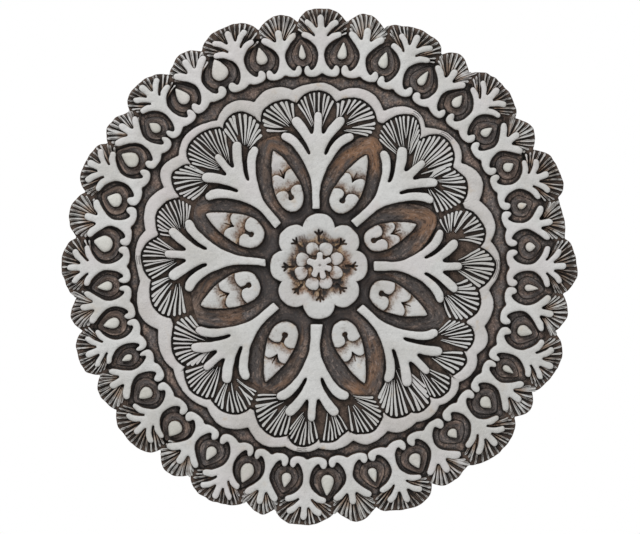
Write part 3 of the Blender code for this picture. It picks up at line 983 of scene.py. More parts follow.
def band_start(angles):
    """The inner edge of the band: along whichever fan reaches furthest out, or else the foot of a wedge."""
    tops = []
    for meet, edge, _, _ in FANS:
        top = []
        for p in fan_edge(edge):
            if p.length > BAND_FOOT:
                turn = math.degrees(math.atan2(p.x, p.y))
                top.append((meet[0] + (turn - meet[0] + 180) % 360 - 180, p.length))
        tops.append([(top[0][0] - 0.4, top[0][1]), *top, (top[-1][0] + 0.4, top[-1][1])])

    def reach(top, here):
        """How far out the line of one fan is at an angle, or nothing where it has no line."""
        if not top[0][0] <= here <= top[-1][0]:
            return 0.0
        found = [0.0]
        for (a, r), (b, s) in zip(top, top[1:]):
            if a <= here <= b:
                found.append(r + (s - r) * (here - a) / max(b - a, 1e-6))
        return max(found)

    return [max(BAND_FOOT, *(reach(top, here) for top in tops for here in (a, a + 360))) for a in angles]


def band_end(angle):
    """The outer edge of the band: a round lobe over each fan, with a sharp notch between two."""
    for (_, _, notch, crest), (_, _, following, _) in zip(FANS, FANS[1:] + FANS[:1]):
        here, top, end = ((a - notch[0]) % 360 for a in (angle, crest[0], following[0]))
        if here < top:
            return crest[1] - (crest[1] - notch[1]) * (1 - here / top) ** 2
        if here < end:
            return crest[1] - (crest[1] - following[1]) * ((here - top) / (end - top)) ** 2
    return BAND_FOOT


def ground_start(angle):
    """Where the ground of the fans begins, further out between two trees."""
    start, reach = GROUND_START, 9.5
    for line, radius in GROUND_ENDS:
        off = ((angle - line + 180) % 360 - 180) / reach
        start = max(start, GROUND_START + (radius - GROUND_START) * (1 - off * off))
    return start


def field_radius(angle):
    """Where the floor of the border ends and the ground of the crowns begins."""
    off = abs((angle / PALMETTE_PITCH + 0.5) % 1 - 0.5) * 2
    return PALMETTE_ROOT + PALMETTE_LENGTH * (0.60 + 0.115 * off * off)


class PLAQUE_OT_body(bpy.types.Operator):
    """The disc that carries the carving, with its lobed edge, its floors and the nail pocket in its back"""

    bl_idname = "plaque.body"
    bl_label = "Body"

    # Up the side, and then down from the rim to the floor of the border: (distance inwards, height)
    EDGE = (
        (1.6, 0.0), (0.7, 0.35), (0.15, 1.2), (0.0, 2.4), (0.0, 9.4), (0.25, 10.4), (0.8, 11.0), (1.8, 11.25),
    )
    FIELD = ((-1.2, 11.15), (-0.4, 10.7), (0.1, 9.4), (0.6, 9.0))
    POCKET_TOP, POCKET_WIDTH, POCKET_TALL, POCKET_DEPTH = 102.0, 16.0, 11.0, 6.2
    LIP, UNDERCUT = 2.8, 4.5

    def execute(self, context):
        clay = Clay()
        count = 1152
        angles = [360 * i / count for i in range(count)]

        def ring(line, height):
            """The points of a line that is given by its distance from the centre."""
            points = [in_border(polar(line(a), a)) for a in angles]
            return [(p.x, p.y, height) for p in points]

        rings = [
            ring(lambda a: rim_radius(a) - BODY_INSIDE_RIM - inset, height) for inset, height in self.EDGE
        ] + [
            ring(lambda a: field_radius(a) - inset, height) for inset, height in self.FIELD
        ]
        clay.loft(rings, [0.0] * len(rings), caps=True)
        back, front = (f for f in clay.bm.faces if len(f.verts) == count)
        self.pocket(clay.bm, back)
        for f in clay.bm.faces:
            height = f.calc_center_median().z
            if f == front:
                f.material_index = 0
            elif height < 9.2:
                f.material_index = 1
            elif height > 10.2:
                f.material_index = 2
        piece = clay.finish("plaque_body", ["brushed floor", "bare back", "washed ground"])
        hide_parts("plaque")
        return {"FINISHED"}

    def pocket(self, bm, back):
        """Presses the nail pocket into the back, with the undercut behind its upper lip."""
        width, top, bottom = self.POCKET_WIDTH / 2, self.POCKET_TOP, self.POCKET_TOP - self.POCKET_TALL
        cuts = (
            ((width, 0, 0), (1, 0, 0)), ((-width, 0, 0), (1, 0, 0)), ((0, top, 0), (0, 1, 0)),
            ((0, bottom, 0), (0, 1, 0)),
        )
        faces = [back]
        for co, no in cuts:
            geom = set(faces)
            for f in faces:
                geom.update(f.edges)
                geom.update(f.verts)
            made = bmesh.ops.bisect_plane(bm, geom=list(geom), plane_co=co, plane_no=no)
            faces = [g for g in made["geom"] if isinstance(g, bmesh.types.BMFace)]
        for f in faces:
            f.smooth = False
        middle = Vector((0, (top + bottom) / 2, 0))
        mouth = min(faces, key=lambda f: (f.calc_center_median() - middle).length)
        for depth in (self.LIP, self.POCKET_DEPTH - self.LIP):
            mouth = self.pressed(bm, mouth, (0, 0, depth))
        behind_lip = Vector((0, top, (self.LIP + self.POCKET_DEPTH) / 2))
        wall = min(bm.faces, key=lambda f: (f.calc_center_median() - behind_lip).length)
        self.pressed(bm, wall, (0, self.UNDERCUT, 0))

    def pressed(self, bm, face, move):
        """Pushes a face into the clay and returns the face at the bottom of the hollow."""
        bottom = bmesh.ops.extrude_discrete_faces(bm, faces=[face])["faces"][0]
        bmesh.ops.translate(bm, vec=move, verts=bottom.verts)
        return bottom


class PLAQUE_OT_rosette(bpy.types.Operator):
    """The eight-petalled rosette: its stained dish with cut stars, the lobed cup, and the flower in it"""

    bl_idname = "plaque.rosette"
    bl_label = "Rosette"

    # The cut stars, as (angle, distance from the centre)
    STARS = (
        (0, 31.0), (45, 31.5), (90, 33.0), (135, 31.5), (178, 31.0), (222, 31.0), (268, 31.5), (315, 32.0),
    )
    # Up the side of the petals and over their edge: (distance inwards, height, how clean the slip is)
    SIDE = (
        (0.0, 7.5, 0.0), (0.0, 9.0, 0.0), (0.25, 11.6, 0.0), (0.45, 12.8, 0.3),
        (0.75, 13.5, 0.8), (1.2, 13.85, 1.0), (2.0, 13.97, 1.0), (3.2, 14.0, 1.0),
    )
    # The arms of the flower, as (angle, reach)
    ARMS = ((0, 9.4), (60, 9.0), (110, 8.6), (165, 9.4), (212, 9.0), (288, 9.6))
    TOP = 14.0
    HUB = 9.0

    def execute(self, context):
        clay = Clay()
        count = 720
        angles = [360 * i / count for i in range(count)]
        rings, cleans = [], []
        for inset, height, clean in self.SIDE:
            rings.append([self.spot(self.petal(a) - inset, a, height) for a in angles])
            cleans.append(clean)
        inner = self.SIDE[-1][0]
        steps = 44
        for step in range(1, steps + 1):
            share = step / steps
            ring = []
            for a in angles:
                radius = (self.petal(a) - inner) * (1 - share) + self.HUB * share
                ring.append(self.spot(radius, a, self.dish(radius, a)))
            rings.append(ring)
            cleans.append(1.0)
        clay.loft(rings, cleans, caps=True)
        clay.finish("rosette", ["stained slip"])
        self.cup()
        self.flower()
        return {"FINISHED"}

    def petal(self, angle):
        """How far out the edge of the petals is."""
        across = abs((angle / PETAL_PITCH + 0.5) % 1 - 0.5) * 2
        return slip_at(angle, PETALS) - 6.4 * across**2.6

    def spot(self, radius, angle, height):
        """A point of the rosette where the carver put it."""
        p = in_middle(polar(radius, angle))
        return (p.x, p.y, height)

    def dish(self, radius, angle):
        """Height of the rosette inside its brim, with the stars cut in it."""
        across = abs((angle / PETAL_PITCH + 0.5) % 1 - 0.5) * 2
        around = polar(3, angle).to_3d()
        brim = 28.3 - 2.6 * across + 2.4 * noise.noise(around)
        share = min(1.0, max(0.0, (brim - radius) / 9.0))
        height = self.TOP - 2.2 * share * share * (3 - 2 * share)
        here = polar(radius, angle)
        for turn, reach in self.STARS:
            foot = polar(reach * 0.695, turn)
            if (here - foot).length > 9:
                continue
            for start, end, width in self.strokes(foot, turn):
                height -= 1.5 * self.cut(here, start, end, width)
        return max(height, 10.8)

    def strokes(self, foot, turn):
        """A crow's foot: a stem along the radius, and three claws that spread outwards."""
        lines = [(polar(foot.length - 3.9, turn), foot, 1.0)]
        for spread, reach in ((-50, 3.4), (0, 3.2), (48, 3.5)):
            lines.append((foot, foot + polar(reach, turn + spread), 1.02))
        return lines

    def cut(self, here, start, end, width):
        """How deep a stroke of a rounded tool is at a place, as a share."""
        along = end - start
        share = min(1.0, max(0.0, (here - start).dot(along) / along.length_squared))
        away = (here - start - along * share).length
        narrow = width * (1.0 - 0.35 * share)
        return max(0.0, 1 - (away / narrow) ** 2) ** 0.5 if away < narrow else 0.0

    def cup(self):
        """Eight soft pads that overlap in a ring, each a little different."""
        clay = Clay()
        for i in range(8):
            turn = PETAL_PITCH * i + 22 + 1.6 * math.sin(2.9 * i)
            centre = polar(12.7 + 0.5 * math.sin(1.7 * i), turn)
            out, right = polar(1, turn), polar(1, turn + 90)
            deep, wide = 4.9 + 0.3 * math.sin(3.1 * i), 5.35 + 0.2 * math.sin(4.3 * i + 1)
            outline = []
            for k in range(14):
                a = 2 * math.pi * k / 14
                bulge = 1 + 0.05 * math.sin(3 * a + i) + (0.06 if math.cos(a) > 0.3 else 0.0)
                outline.append(centre + (out * deep * math.cos(a) + right * wide * math.sin(a)) * bulge)
            lift = 11.85 + 0.16 * math.sin(5.3 * i)

            def height(p):
                return PAD_RISE[-1][1] - 0.30 * max(0.0, 13.0 - (p - MIDDLE).length)

            outline = [in_middle(p) for p in softened(outline, 2)]
            clay.pillow(outline, lift, PAD_RISE, 0.45, height=height, pitch=1.0)
        clay.finish("cup", ["stained slip"])

    def flower(self):
        """The six-armed flower in the cup, with a small pit in its middle."""
        clay = Clay()
        shift = Vector((0.6, 0.4))
        outline = []
        turns = [turn for turn, _ in self.ARMS] + [self.ARMS[0][0] + 360]
        for (turn, reach), following in zip(self.ARMS, turns[1:]):
            for share, aside in ((0.72, -19), (0.98, -15), (1.06, 0), (0.98, 15), (0.72, 19)):
                outline.append(polar(reach * share, turn + aside))
            outline.append(polar(4.2 + 0.02 * (following - turn - 45), (turn + following) / 2))
        middle = shift + MIDDLE
        outline = [in_middle(p + shift) for p in softened(outline, 2)]

        def height(p):
            return FLOWER_RISE[-1][1] - 1.1 * max(0.0, 1 - ((p - middle).length / 1.2) ** 2)

        clay.pillow(outline, 12.1, FLOWER_RISE, 0.4, grow=0.12, height=height, pitch=0.6)
        clay.finish("flower", ["pale slip"])


class PLAQUE_OT_trees(bpy.types.Operator):
    """The eight five-fingered trees round the rosette"""

    bl_idname = "plaque.trees"
    bl_label = "Trees"

    def execute(self, context):
        clay = Clay()
        floor = context.scene.plaque_sizes.floor / MM
        # Half the width of the stem in TREE_EDGE
        drawn_stem = 2.4
        for i in range(TREES):
            edge = []
            for x, y in TREE_EDGE:
                x += (TREE_STEMS[i] - drawn_stem) * max(0.0, 1 - y / 20)
                edge.append((x, y - TREE_FEET[i] * max(0.0, 1 - y / 14)))
            outline = figure_outline(edge, TREE_FINGERS, TREE_TOP, TREE_LENGTHS[i])
            outline = placed(outline, TREE_ROOT, PETAL_PITCH * i, TREE_LEANS[i])
            clay.pillow([in_middle(p) for p in outline], floor, FIGURE_RISE, grow=0.4)
        clay.finish("trees", ["pale slip"])
        return {"FINISHED"}


def leaf_half_width(along):
    """Half the width of a leaf as a share, along its length from the round foot to the point."""
    return math.sin(math.pi * min(1.0, max(0.0, along)) ** 0.62) ** 0.72


class PLAQUE_OT_leaves(bpy.types.Operator):
    """The eight leaves between the trees, each in three overlapping scales, and the troughs round them"""

    bl_idname = "plaque.leaves"
    bl_label = "Leaves"

    def execute(self, context):
        leaves, troughs = Clay(), Clay()
        floor = context.scene.plaque_sizes.floor / MM
        for i, leaf in enumerate(LEAVES):
            angle = PETAL_PITCH * (i + 0.5)
            self.leaf(leaves, leaf, angle, floor, i)
            self.trough(troughs, leaf, angle, floor, i)
        leaves.finish("leaves", ["stained slip"])
        troughs.finish("leaf_troughs", ["brushed trough"], sheet=True)
        return {"FINISHED"}

    def leaf(self, clay, leaf, angle, floor, seed):
        """A leaf in three scales. Each dips under the edge of the one nearer to its foot."""
        foot, point, base, tip, half = leaf
        length = point - foot
        low, high = 0.335 + 0.014 * math.sin(seed * 2.1), 0.590 + 0.016 * math.sin(seed * 3.7)
        full = LEAF_RISE[-1][1]

        def place(p):
            aside = p.x + base + (tip - base) * p.y / length
            return in_middle(polar(1, angle) * (foot + p.y) + polar(1, angle + 90) * aside)

        def edge(right):
            """A scale that runs on far below its edge, and that edge from left to right."""
            points = [Vector(p) for p in right]
            line = eased([Vector((-p.x, p.y)) for p in points] + points[::-1], 2)
            return [*line, Vector((40, -40)), Vector((-40, -40))], line

        steps = 40
        right = [Vector((half * leaf_half_width(i / steps), length * i / steps)) for i in range(steps + 1)]
        outline = softened(mirrored(right), 1)
        at = length * low
        slot, eye, deep = 1.15, 1.95, 7.4 + 0.8 * math.sin(seed * 1.7)
        foot_scale, foot_cut = edge((
            (half * 1.3, at - 1.6), (half * 0.95, at - 0.2), (half * 0.72, at + 1.2), (half * 0.44, at + 1.3),
            (half * 0.22, at + 0.3), (slot, at - 0.9), (slot * 0.9, at - deep * 0.56),
            (eye, at - deep * 0.66), (eye, at - deep * 0.90), (eye * 0.5, at - deep * 1.02),
        ))
        at = length * high
        middle_scale, middle_cut = edge((
            (half * 1.3, at - 2.0), (half * 0.9, at - 0.3), (half * 0.66, at + 1.3), (half * 0.38, at + 1.2),
            (half * 0.15, at - 1.2), (0.15, at - 3.6),
        ))
        strokes = []
        for lean, reach in ((4 * math.sin(seed * 5.1), 6.4), (-38, 3.0), (34, 3.4)):
            start = Vector((0, at - 2.9))
            strokes.append((start, start + polar(reach, lean)))
        from_foot, from_middle = nearness(foot_cut, 0.15, False), nearness(middle_cut, 0.15, False)

        def height(p):
            """The top of the leaf at a point."""
            first, second = from_foot(p), from_middle(p)
            if inside(p, foot_scale):
                return full - 0.55 * max(0.0, 1 - first / 1.2) ** 2
            if inside(p, middle_scale):
                dip = 2.0 * max(0.0, 1 - first / 8.5) ** 1.25 + 0.5 * max(0.0, 1 - second / 1.1) ** 2
                if p.y < length * low - 0.6:
                    dip = max(dip, 2.5)
                return full - dip
            dip = 1.9 * max(0.0, 1 - second / 8.0) ** 1.25
            for start, end in strokes:
                along = end - start
                share = min(1.0, max(0.0, (p - start).dot(along) / along.length_squared))
                reach = (p - start - along * share).length / (0.75 - 0.35 * share)
                dip += 1.1 * max(0.0, 1 - reach * reach) ** 0.5
            return full - dip

        more = []
        for line in (foot_cut, middle_cut):
            path = followed(line, 0.35)
            for offset in (-0.5, -0.10, 0.10, 0.5):
                more += grown(path, offset)[1:-1]
        clay.pillow(outline, floor, LEAF_RISE, 0.5, 0.1, height, more, place, 0.55)

    def trough(self, clay, leaf, angle, floor, seed):
        """The brushed floor round a leaf, in rings that follow it, with the grain along them."""
        foot, point, base, tip, half = leaf
        out, right = polar(1, angle), polar(1, angle + 90)
        steps, rows = 60, 9
        loops = []
        for row in range(rows):
            share = row / (rows - 1)
            grow = -1.0 + 15.5 * share
            ring = []
            for k in range(steps * 2 + 1):
                t = k / steps
                along, side = (t, 1) if t <= 1 else (2 - t, -1)
                centre = out * (foot + (point - foot) * along) + right * (base + (tip - base) * along)
                width = side * half * leaf_half_width(along)
                outward = out * (math.cos(math.pi * (1 - along)) * (1.25 if along > 0.5 else 1.0))
                aside = right * side * math.sin(math.pi * along) ** 0.6
                p = in_middle(centre + right * width + (outward + aside).normalized() * grow)
                height = floor + 0.05 + 0.5 * abs(2 * share - 0.8) ** 3
                if along < 0.45 and grow > 6.5:
                    height = floor - 0.4
                v = clay.bm.verts.new((p.x, p.y, height))
                v[clay.slip] = LEAF_RUST[seed] * min(1.0, max(0.0, (along - 0.35) / 0.5))
                v[clay.grain] = Vector((share * 0.012, t * 0.060, seed * 0.5))
                ring.append(v)
            loops.append(ring)
        clay.strips(loops)


class PLAQUE_OT_fans(bpy.types.Operator):
    """The twenty-seven ribbed fans that open from the fingers of the trees to the band"""

    bl_idname = "plaque.fans"
    bl_label = "Fans"

    def execute(self, context):
        ground, ribs = Clay(), Clay()
        pitch = context.scene.plaque_sizes.rib_pitch / MM
        rng = random.Random(context.scene.plaque_sizes.seed)
        angles = [i / 2 for i in range(720)]
        ends = [radius + 1.3 for radius in band_start(angles)]
        starts = [ground_start(a) for a in angles]

        def ring(share, lift, height=None):
            """Points at this share of the way out over the ground, and a little beyond."""
            points = []
            for a, start, end in zip(angles, starts, ends):
                radius = start + (end - start) * share + lift
                p = drawn(polar(radius, a))
                points.append((p.x, p.y, self.ground_at(radius) if height is None else height))
            return points

        bottom = 8.0
        rings = [
            ring(0, 0, bottom), ring(0, 0.6, 9.2), ring(0, 2.0), ring(0.4, 0), ring(0.7, 0), ring(1, 0),
            ring(1, 0, bottom),
        ]
        ground.loft(rings, [0.0] * len(rings))
        ground.join_ends()
        ground.finish("fan_ground", ["washed ground"])
        for meet, edge, _, _ in FANS:
            self.fan(ribs, meet, edge, pitch, rng)
        ribs.finish("fan_ribs", ["worn slip"])
        return {"FINISHED"}

    def fan(self, clay, meet, edge, pitch, rng):
        """The ribs of one fan, from round the place where they meet out to its edge."""
        focus = polar(meet[1], meet[0])
        line = followed(fan_edge(edge), 0.2)
        focus += (focus - line[len(line) // 2]) * 0.32
        pitch *= rng.uniform(0.97, 1.24)
        count = round(sum((q - p).length for p, q in zip(line, line[1:])) / pitch)
        lines = []
        for i in range(count):
            end = line[round((i + 0.5 + rng.uniform(-0.13, 0.13)) / count * (len(line) - 1))]
            reach = (end - focus).length
            lines.append([focus, end, reach * rng.uniform(0.22, 0.33)])
        i = 1
        while i < len(lines) - 2:
            if rng.random() < 0.24:
                meet = (lines[i][0] + lines[i + 1][0]) / 2
                meet = meet.lerp((lines[i][1] + lines[i + 1][1]) / 2, rng.uniform(0.36, 0.52))
                for k in (i, i + 1):
                    lines[k] = [meet, lines[k][1], 0.0]
                i += 1
            i += 1
        for focus, end, start in lines:
            self.rib(clay, focus, end, start, pitch, rng)

    def rib(self, clay, focus, end, start, pitch, rng):
        """A wedge that widens outwards, with a groove left between it and the next."""
        out = (end - focus).normalized()
        aside = Vector((out.y, -out.x))
        reach = (end - focus).length - 0.5
        wide = (0.5 * pitch - 0.78) * rng.uniform(0.82, 1.16)
        bend = rng.uniform(-0.55, 0.55)
        ripple = rng.uniform(0, 6)
        shares = (0.0, 0.2, 0.4, 0.6, 0.8, 0.95, 1.0)
        outline = []
        for side in (1, -1):
            for share in shares if side == 1 else shares[::-1]:
                along = start + (reach - start) * share
                width = 0.38 + (wide - 0.38) * share**0.8 + 0.08 * math.sin(ripple + 9 * share + side)
                if share == 1.0:
                    width *= 0.66
                sway = bend * math.sin(math.pi * share)
                outline.append(focus + out * along + aside * (side * width + sway))
            outline.append(focus + out * (reach + 0.25 if side == 1 else start - 0.5))
        outline = [drawn(p) for p in outline]
        base = self.ground_at((focus + out * (start + reach) / 2).length)
        for v in clay.raised(outline, base - 0.9, base - 0.3, FAN_RIB_RISE):
            v.co.z += self.ground_at(math.hypot(v.co.x, v.co.y)) - base

    def ground_at(self, radius):
        """The height of the ground, which rises outwards in two slopes."""
        inner, bend, outer = 91.6, 105, 125
        if radius < bend:
            return 9.8 + (max(radius, inner) - inner) / (bend - inner) * 0.6
        return 10.4 + (min(radius, outer) - bend) / (outer - bend) * 0.8


class PLAQUE_OT_band(bpy.types.Operator):
    """The plain scalloped band between the fans and the gutter"""

    bl_idname = "plaque.band"
    bl_label = "Band"

    def execute(self, context):
        clay = Clay()
        floor = context.scene.plaque_sizes.floor / MM
        angles = [i / 4 for i in range(1440)]
        near = [drawn(polar(radius + 0.35, a)) for radius, a in zip(band_start(angles), angles)]
        far = [drawn(polar(band_end(a), a)) for a in angles]
        from_near, from_far = nearness(near, 0.12), nearness(far, 0.12)
        margins = (0.0, 0.12, 0.3, 0.6, 1.0, 1.7)
        rows = [(margin, 0.0) for margin in margins] + [(0.0, share) for share in (0.35, 0.5, 0.65)]
        rows += [(-margin, 1.0) for margin in reversed(margins)]
        rings, cleans = [], []
        for margin, share in rows:
            ring = []
            for p, q in zip(near, far):
                across = (q - p).length
                there = p.lerp(q, share + margin * min(1.0, across / 4.6) / across)
                up, clean = clay.risen(BAND_RISE, min(from_near(there), from_far(there)))
                if up > 3.0:
                    up += 0.13 * noise.noise(Vector((there.x, there.y, 2.0)) / 5.0)
                ring.append((there.x, there.y, floor + up))
                cleans.append(clean)
            rings.append(ring)
        loops = clay.loft(rings, [0.0] * len(rings))
        for v, clean in zip((v for loop in loops for v in loop), cleans):
            v[clay.slip] = clean
        clay.join_ends()
        clay.finish("band", ["handled slip"])
        return {"FINISHED"}


class PLAQUE_OT_palmettes(bpy.types.Operator):
    """The border of sixteen large and sixteen small palmettes"""

    bl_idname = "plaque.palmettes"
    bl_label = "Palmettes"

    def execute(self, context):
        floor = context.scene.plaque_sizes.floor / MM
        rng = random.Random(context.scene.plaque_sizes.seed + 1)
        for name, offset in (("large_palmettes", 0), ("small_palmettes", 1)):
            clay = Clay()
            for i in range(offset, PALMETTES, 2):
                if offset:
                    outline = figure_outline(SMALL_EDGE, SMALL_FINGERS, SMALL_TOP, rng.uniform(0.97, 1.04))
                else:
                    outline = figure_outline(LARGE_EDGE, LARGE_FINGERS, LARGE_TOP, LARGE_LENGTHS[i // 2])
                lean = rng.uniform(-0.8, 0.8)
                foot, tips = PALMETTE_SHIFTS[i]
                wide, tall = 1 + foot / PALMETTE_ROOT, 1 + (tips - foot) / 40
                outline = [Vector((p.x * (wide - 0.02 * (p.y < 12)), p.y * tall)) for p in outline]
                outline = placed(outline, PALMETTE_ROOT + foot, PALMETTE_PITCH * i, (-lean, lean), 40)
                clay.pillow([in_border(p) for p in outline], floor, FIGURE_RISE, grow=0.15)
            clay.finish(name, ["pale slip"])
        return {"FINISHED"}


class PLAQUE_OT_drops(bpy.types.Operator):
    """The cream drop between each two palmettes, and the trough round it"""

    bl_idname = "plaque.drops"
    bl_label = "Drops"

    def execute(self, context):
        drops, troughs = Clay(), Clay()
        floor = context.scene.plaque_sizes.floor / MM
        rng = random.Random(context.scene.plaque_sizes.seed + 2)
        for i, (half, length) in enumerate(DROPS):
            angle = PALMETTE_PITCH * (i + 0.5)
            tilt = rng.uniform(-6, 6)
            shift = (PALMETTE_SHIFTS[i][0] + PALMETTE_SHIFTS[(i + 1) % PALMETTES][0]) / 2
            self.foot = DROP_FOOT + 0.6 * shift + 0.4
            rings, cleans = [], []
            for share, up, clean in DROP_RISE:
                outline = self.outline(half, length, -half * share, tilt, angle)
                rings.append([(p.x, p.y, floor + up) for p in outline])
                cleans.append(clean)
            drops.loft(rings, cleans, caps=True)
            self.trough(troughs, half, length, tilt, angle, floor, i)
        drops.finish("drops", ["cream slip"])
        troughs.finish("drop_troughs", ["brushed hollow"], sheet=True)
        return {"FINISHED"}

    def outline(self, half, length, grow, tilt, angle):
        """A drop, round towards the centre and pointed outwards, grown by grow."""
        wide, tall = half + grow, length + grow * 1.9
        low, high = wide + (tall - wide) * 0.30 - grow, wide + (tall - wide) * 0.70 - grow
        shape = arc((0, wide - grow), wide, -180, 0, 12)
        sides = ((0.86, low), (0.42, high), (0.0, tall - grow), (-0.42, high), (-0.86, low))
        shape += [Vector((wide * share, y)) for share, y in sides]
        turn = Matrix.Rotation(math.radians(tilt), 2)
        shape = [turn @ p for p in softened(shape, 1)]
        return [in_border(p) for p in placed(shape, self.foot, angle)]

    def trough(self, clay, half, length, tilt, angle, floor, seed):
        """The brushed floor round a drop, in rings that follow it, with the grain along them."""
        rows = 6
        loops = []
        for row in range(rows):
            share = row / (rows - 1)
            outline = self.outline(half, length, -0.6 + 5.6 * share, tilt, angle)
            ring = []
            for k, p in enumerate([*outline, outline[0]]):
                v = clay.bm.verts.new((p.x, p.y, floor + 0.04 + 0.5 * abs(2 * share - 0.9) ** 3))
                v[clay.grain] = Vector((share * 0.006, k / len(outline) * 0.035, seed * 0.7 + 20))
                ring.append(v)
            loops.append(ring)
        clay.strips(loops)


class PLAQUE_OT_crowns(bpy.types.Operator):
    """The ribs that open from each palmette to the lobed rim"""

    bl_idname = "plaque.crowns"
    bl_label = "Rim ribs"

    def execute(self, context):
        clay = Clay()
        rng = random.Random(context.scene.plaque_sizes.seed + 3)
        space = context.scene.plaque_sizes.crown_pitch / MM
        for i in range(PALMETTES):
            axis = PALMETTE_PITCH * i
            large = i % 2 == 0
            half = PALMETTE_PITCH * (0.57 if large else 0.42)
            focus = polar(PALMETTE_ROOT + PALMETTE_LENGTH * (0.52 if large else 0.50), axis)
            for radius, angle in self.ends(axis, half, space):
                angle += rng.uniform(-0.16, 0.16)
                end = polar(radius - rng.uniform(0.0, 0.5), angle)
                self.rib(clay, focus, end, rng.uniform(4.5, 7.0), large, rng)
        clay.finish("rim_ribs", ["thin slip"])
        return {"FINISHED"}

    def ends(self, axis, half, space):
        """Evenly spaced places round the edge of a lobe, and a few down each of its sides."""
        steps, drops = 40, (9.0, 6.0, 3.0)
        path = [(rim_radius(axis - half) - drop, axis - half + 0.2) for drop in drops]
        for i in range(steps + 1):
            angle = axis - half + 2 * half * i / steps
            path.append((rim_radius(angle) - BODY_INSIDE_RIM - 0.25, angle))
        path += [(rim_radius(axis + half) - drop, axis + half - 0.2) for drop in reversed(drops)]
        made, walked = [], space * 0.5
        for (r, a), (s, b) in zip(path, path[1:]):
            walked += (polar(s, b) - polar(r, a)).length
            if walked >= space:
                made.append((s, b))
                walked -= space
        return made

    def rib(self, clay, focus, end, start, large, rng):
        """A wedge that widens to the rim and dips over its edge."""
        out = (end - focus).normalized()
        aside = Vector((out.y, -out.x))
        reach = (end - focus).length
        if reach - start < 2.0:
            return
        bend = rng.uniform(-0.45, 0.45)
        wide = rng.uniform(0.80, 1.12) * (0.70 if large else 0.96)
        bare = rng.uniform(0.5, 0.85) + (0.15 if large else -0.10)
        shares = (0.0, 0.3, 0.6, 0.80, 0.92, 1.0)
        beads = (1.0, 1.0, 1.0, 0.80, 1.18, 0.66) if large else (1.0, 1.0, 1.0, 1.0, 1.05, 0.66)
        outline = []
        for side in (1, -1):
            for share, bead in list(zip(shares, beads))[::side]:
                along = start + (reach - start) * share
                width = min(1.08, 0.22 + 0.07 * (along - 3.0)) * wide * bead
                sway = bend * math.sin(math.pi * share)
                outline.append(focus + out * along + aside * (side * width + sway))
            outline.append(focus + out * (reach + 0.2 if side == 1 else start - 0.4))
        outline = [in_border(p) for p in outline]
        tip = in_border(end)
        high = 1.5 + rng.uniform(-0.25, 0.2)
        bare_from = 0.14 if large else 0.24
        profile = ((0.06, 1.2, 0.05), (0.12, high + 0.2, 0.7), (0.14, high + 0.4, 1.0))
        for v in clay.raised(outline, 9.4, 10.6, profile):
            inward = (tip - Vector((v.co.x, v.co.y))).dot(out)
            beyond = 1 - min(1.0, max(0.0, inward / 2.6))
            v.co.z -= 1.1 * beyond * beyond
            v[clay.slip] *= 1 - bare * min(1.0, max(0.0, inward / reach - bare_from) / 0.36)


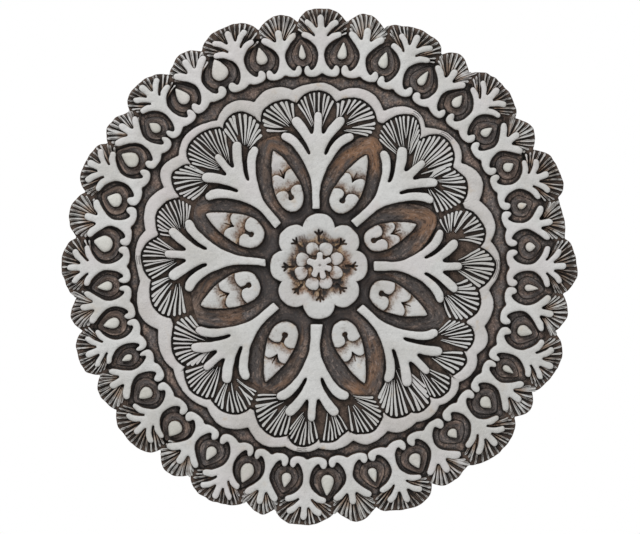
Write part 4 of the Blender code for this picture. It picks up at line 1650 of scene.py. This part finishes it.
class PLAQUE_OT_stage(bpy.types.Operator):
    """The floor, the soft lights and the camera"""

    bl_idname = "plaque.stage"
    bl_label = "Stage"

    # The photograph's frame in dots, the dot of it where the plaque's origin stands, and the size of a dot
    FRAME_DOTS = (640, 534)
    ORIGIN_DOT = (319.5, 267.5)
    DOT = 0.360 / 518
    # The lamps: name, place, size and power
    LAMPS = (("key light", (-0.75, -1.15, 1.45), 0.8, 27.0), ("fill light", (1.1, -1.6, 0.2), 1.4, 7.0))
    FLOOR_HEIGHT, FLOOR_HALF_WIDTH = -0.40, 0.8

    def execute(self, context):
        scene = context.scene
        scene.view_settings.view_transform = "Standard"
        scene.view_settings.look = "None"
        self.floor()
        self.world(scene)
        for lamp in self.LAMPS:
            self.lamp(*lamp)
        self.camera(scene)
        return {"FINISHED"}

    def floor(self):
        bm = bmesh.new()
        bmesh.ops.create_grid(bm, x_segments=1, y_segments=1, size=self.FLOOR_HALF_WIDTH)
        bmesh.ops.translate(bm, vec=(0, 0, self.FLOOR_HEIGHT), verts=bm.verts)
        mesh = bpy.data.meshes.new("floor")
        bm.to_mesh(mesh)
        bm.free()
        mesh.materials.append(finish_named("pale floor"))
        floor = bpy.data.objects.new("floor", mesh)
        bpy.context.scene.collection.objects.link(floor)

    def world(self, scene):
        """White behind the plaque, and dimmer as a light."""
        world = bpy.data.worlds.new("white studio")
        world.use_nodes = True
        scene.world = world
        nodes, links = world.node_tree.nodes, world.node_tree.links
        seen, lit = nodes["Background"], nodes.new("ShaderNodeBackground")
        seen.inputs["Color"].default_value = (1, 1, 1, 1)
        seen.inputs["Strength"].default_value = 1.0
        lit.inputs["Color"].default_value = (1, 1, 1, 1)
        lit.inputs["Strength"].default_value = 0.50
        path, mix = nodes.new("ShaderNodeLightPath"), nodes.new("ShaderNodeMixShader")
        links.new(path.outputs["Is Camera Ray"], mix.inputs[0])
        links.new(lit.outputs[0], mix.inputs[1])
        links.new(seen.outputs[0], mix.inputs[2])
        links.new(mix.outputs[0], nodes["World Output"].inputs["Surface"])

    def lamp(self, name, place, size, power):
        light = bpy.data.lights.new(name, "AREA")
        light.shape = "DISK"
        light.size = size
        light.energy = power
        lamp = bpy.data.objects.new(name, light)
        lamp.location = place
        lamp.rotation_euler = (Vector((0, 0, 0)) - Vector(place)).to_track_quat("-Z", "Y").to_euler()
        bpy.context.scene.collection.objects.link(lamp)

    def camera(self, scene):
        """Face on, and far enough back for the plaque to fill the frame as in the photograph."""
        data = bpy.data.cameras.new("camera")
        data.lens, data.sensor_width = 120, 36
        wide, tall = self.FRAME_DOTS
        right, down = self.ORIGIN_DOT
        away = data.lens / data.sensor_width * wide * self.DOT
        camera = bpy.data.objects.new("camera", data)
        camera.location = ((wide / 2 - right) * self.DOT, -0.013 - away, (down - tall / 2) * self.DOT)
        camera.rotation_euler = (math.radians(90), 0, 0)
        scene.collection.objects.link(camera)
        scene.camera = camera


class PLAQUE_PT_panel(bpy.types.Panel):
    """Lists the sizes, the colours and the steps that build the plaque"""

    bl_idname = "PLAQUE_PT_panel"
    bl_label = "Plaque"
    bl_space_type = "VIEW_3D"
    bl_region_type = "UI"
    bl_category = "Plaque"

    def draw(self, context):
        for group in (context.scene.plaque_sizes, context.scene.plaque_colours):
            box = self.layout.box()
            for name in group.__annotations__:
                box.prop(group, name)
        for step in STEPS:
            self.layout.operator(step.bl_idname)


STEPS = (
    PLAQUE_OT_body,
    PLAQUE_OT_rosette,
    PLAQUE_OT_trees,
    PLAQUE_OT_leaves,
    PLAQUE_OT_fans,
    PLAQUE_OT_band,
    PLAQUE_OT_palmettes,
    PLAQUE_OT_drops,
    PLAQUE_OT_crowns,
    PLAQUE_OT_stage,
)
CLASSES = (PlaqueSizes, PlaqueColours, *STEPS, PLAQUE_PT_panel)


def register():
    for cls in CLASSES:
        bpy.utils.register_class(cls)
    bpy.types.Scene.plaque_sizes = PointerProperty(type=PlaqueSizes)
    bpy.types.Scene.plaque_colours = PointerProperty(type=PlaqueColours)


def unregister():
    del bpy.types.Scene.plaque_sizes
    del bpy.types.Scene.plaque_colours
    for cls in reversed(CLASSES):
        bpy.utils.unregister_class(cls)


def main():
    register()
    for step in STEPS:
        group, name = step.bl_idname.split(".")
        getattr(getattr(bpy.ops, group), name)()


if __name__ == "__main__":
    main()
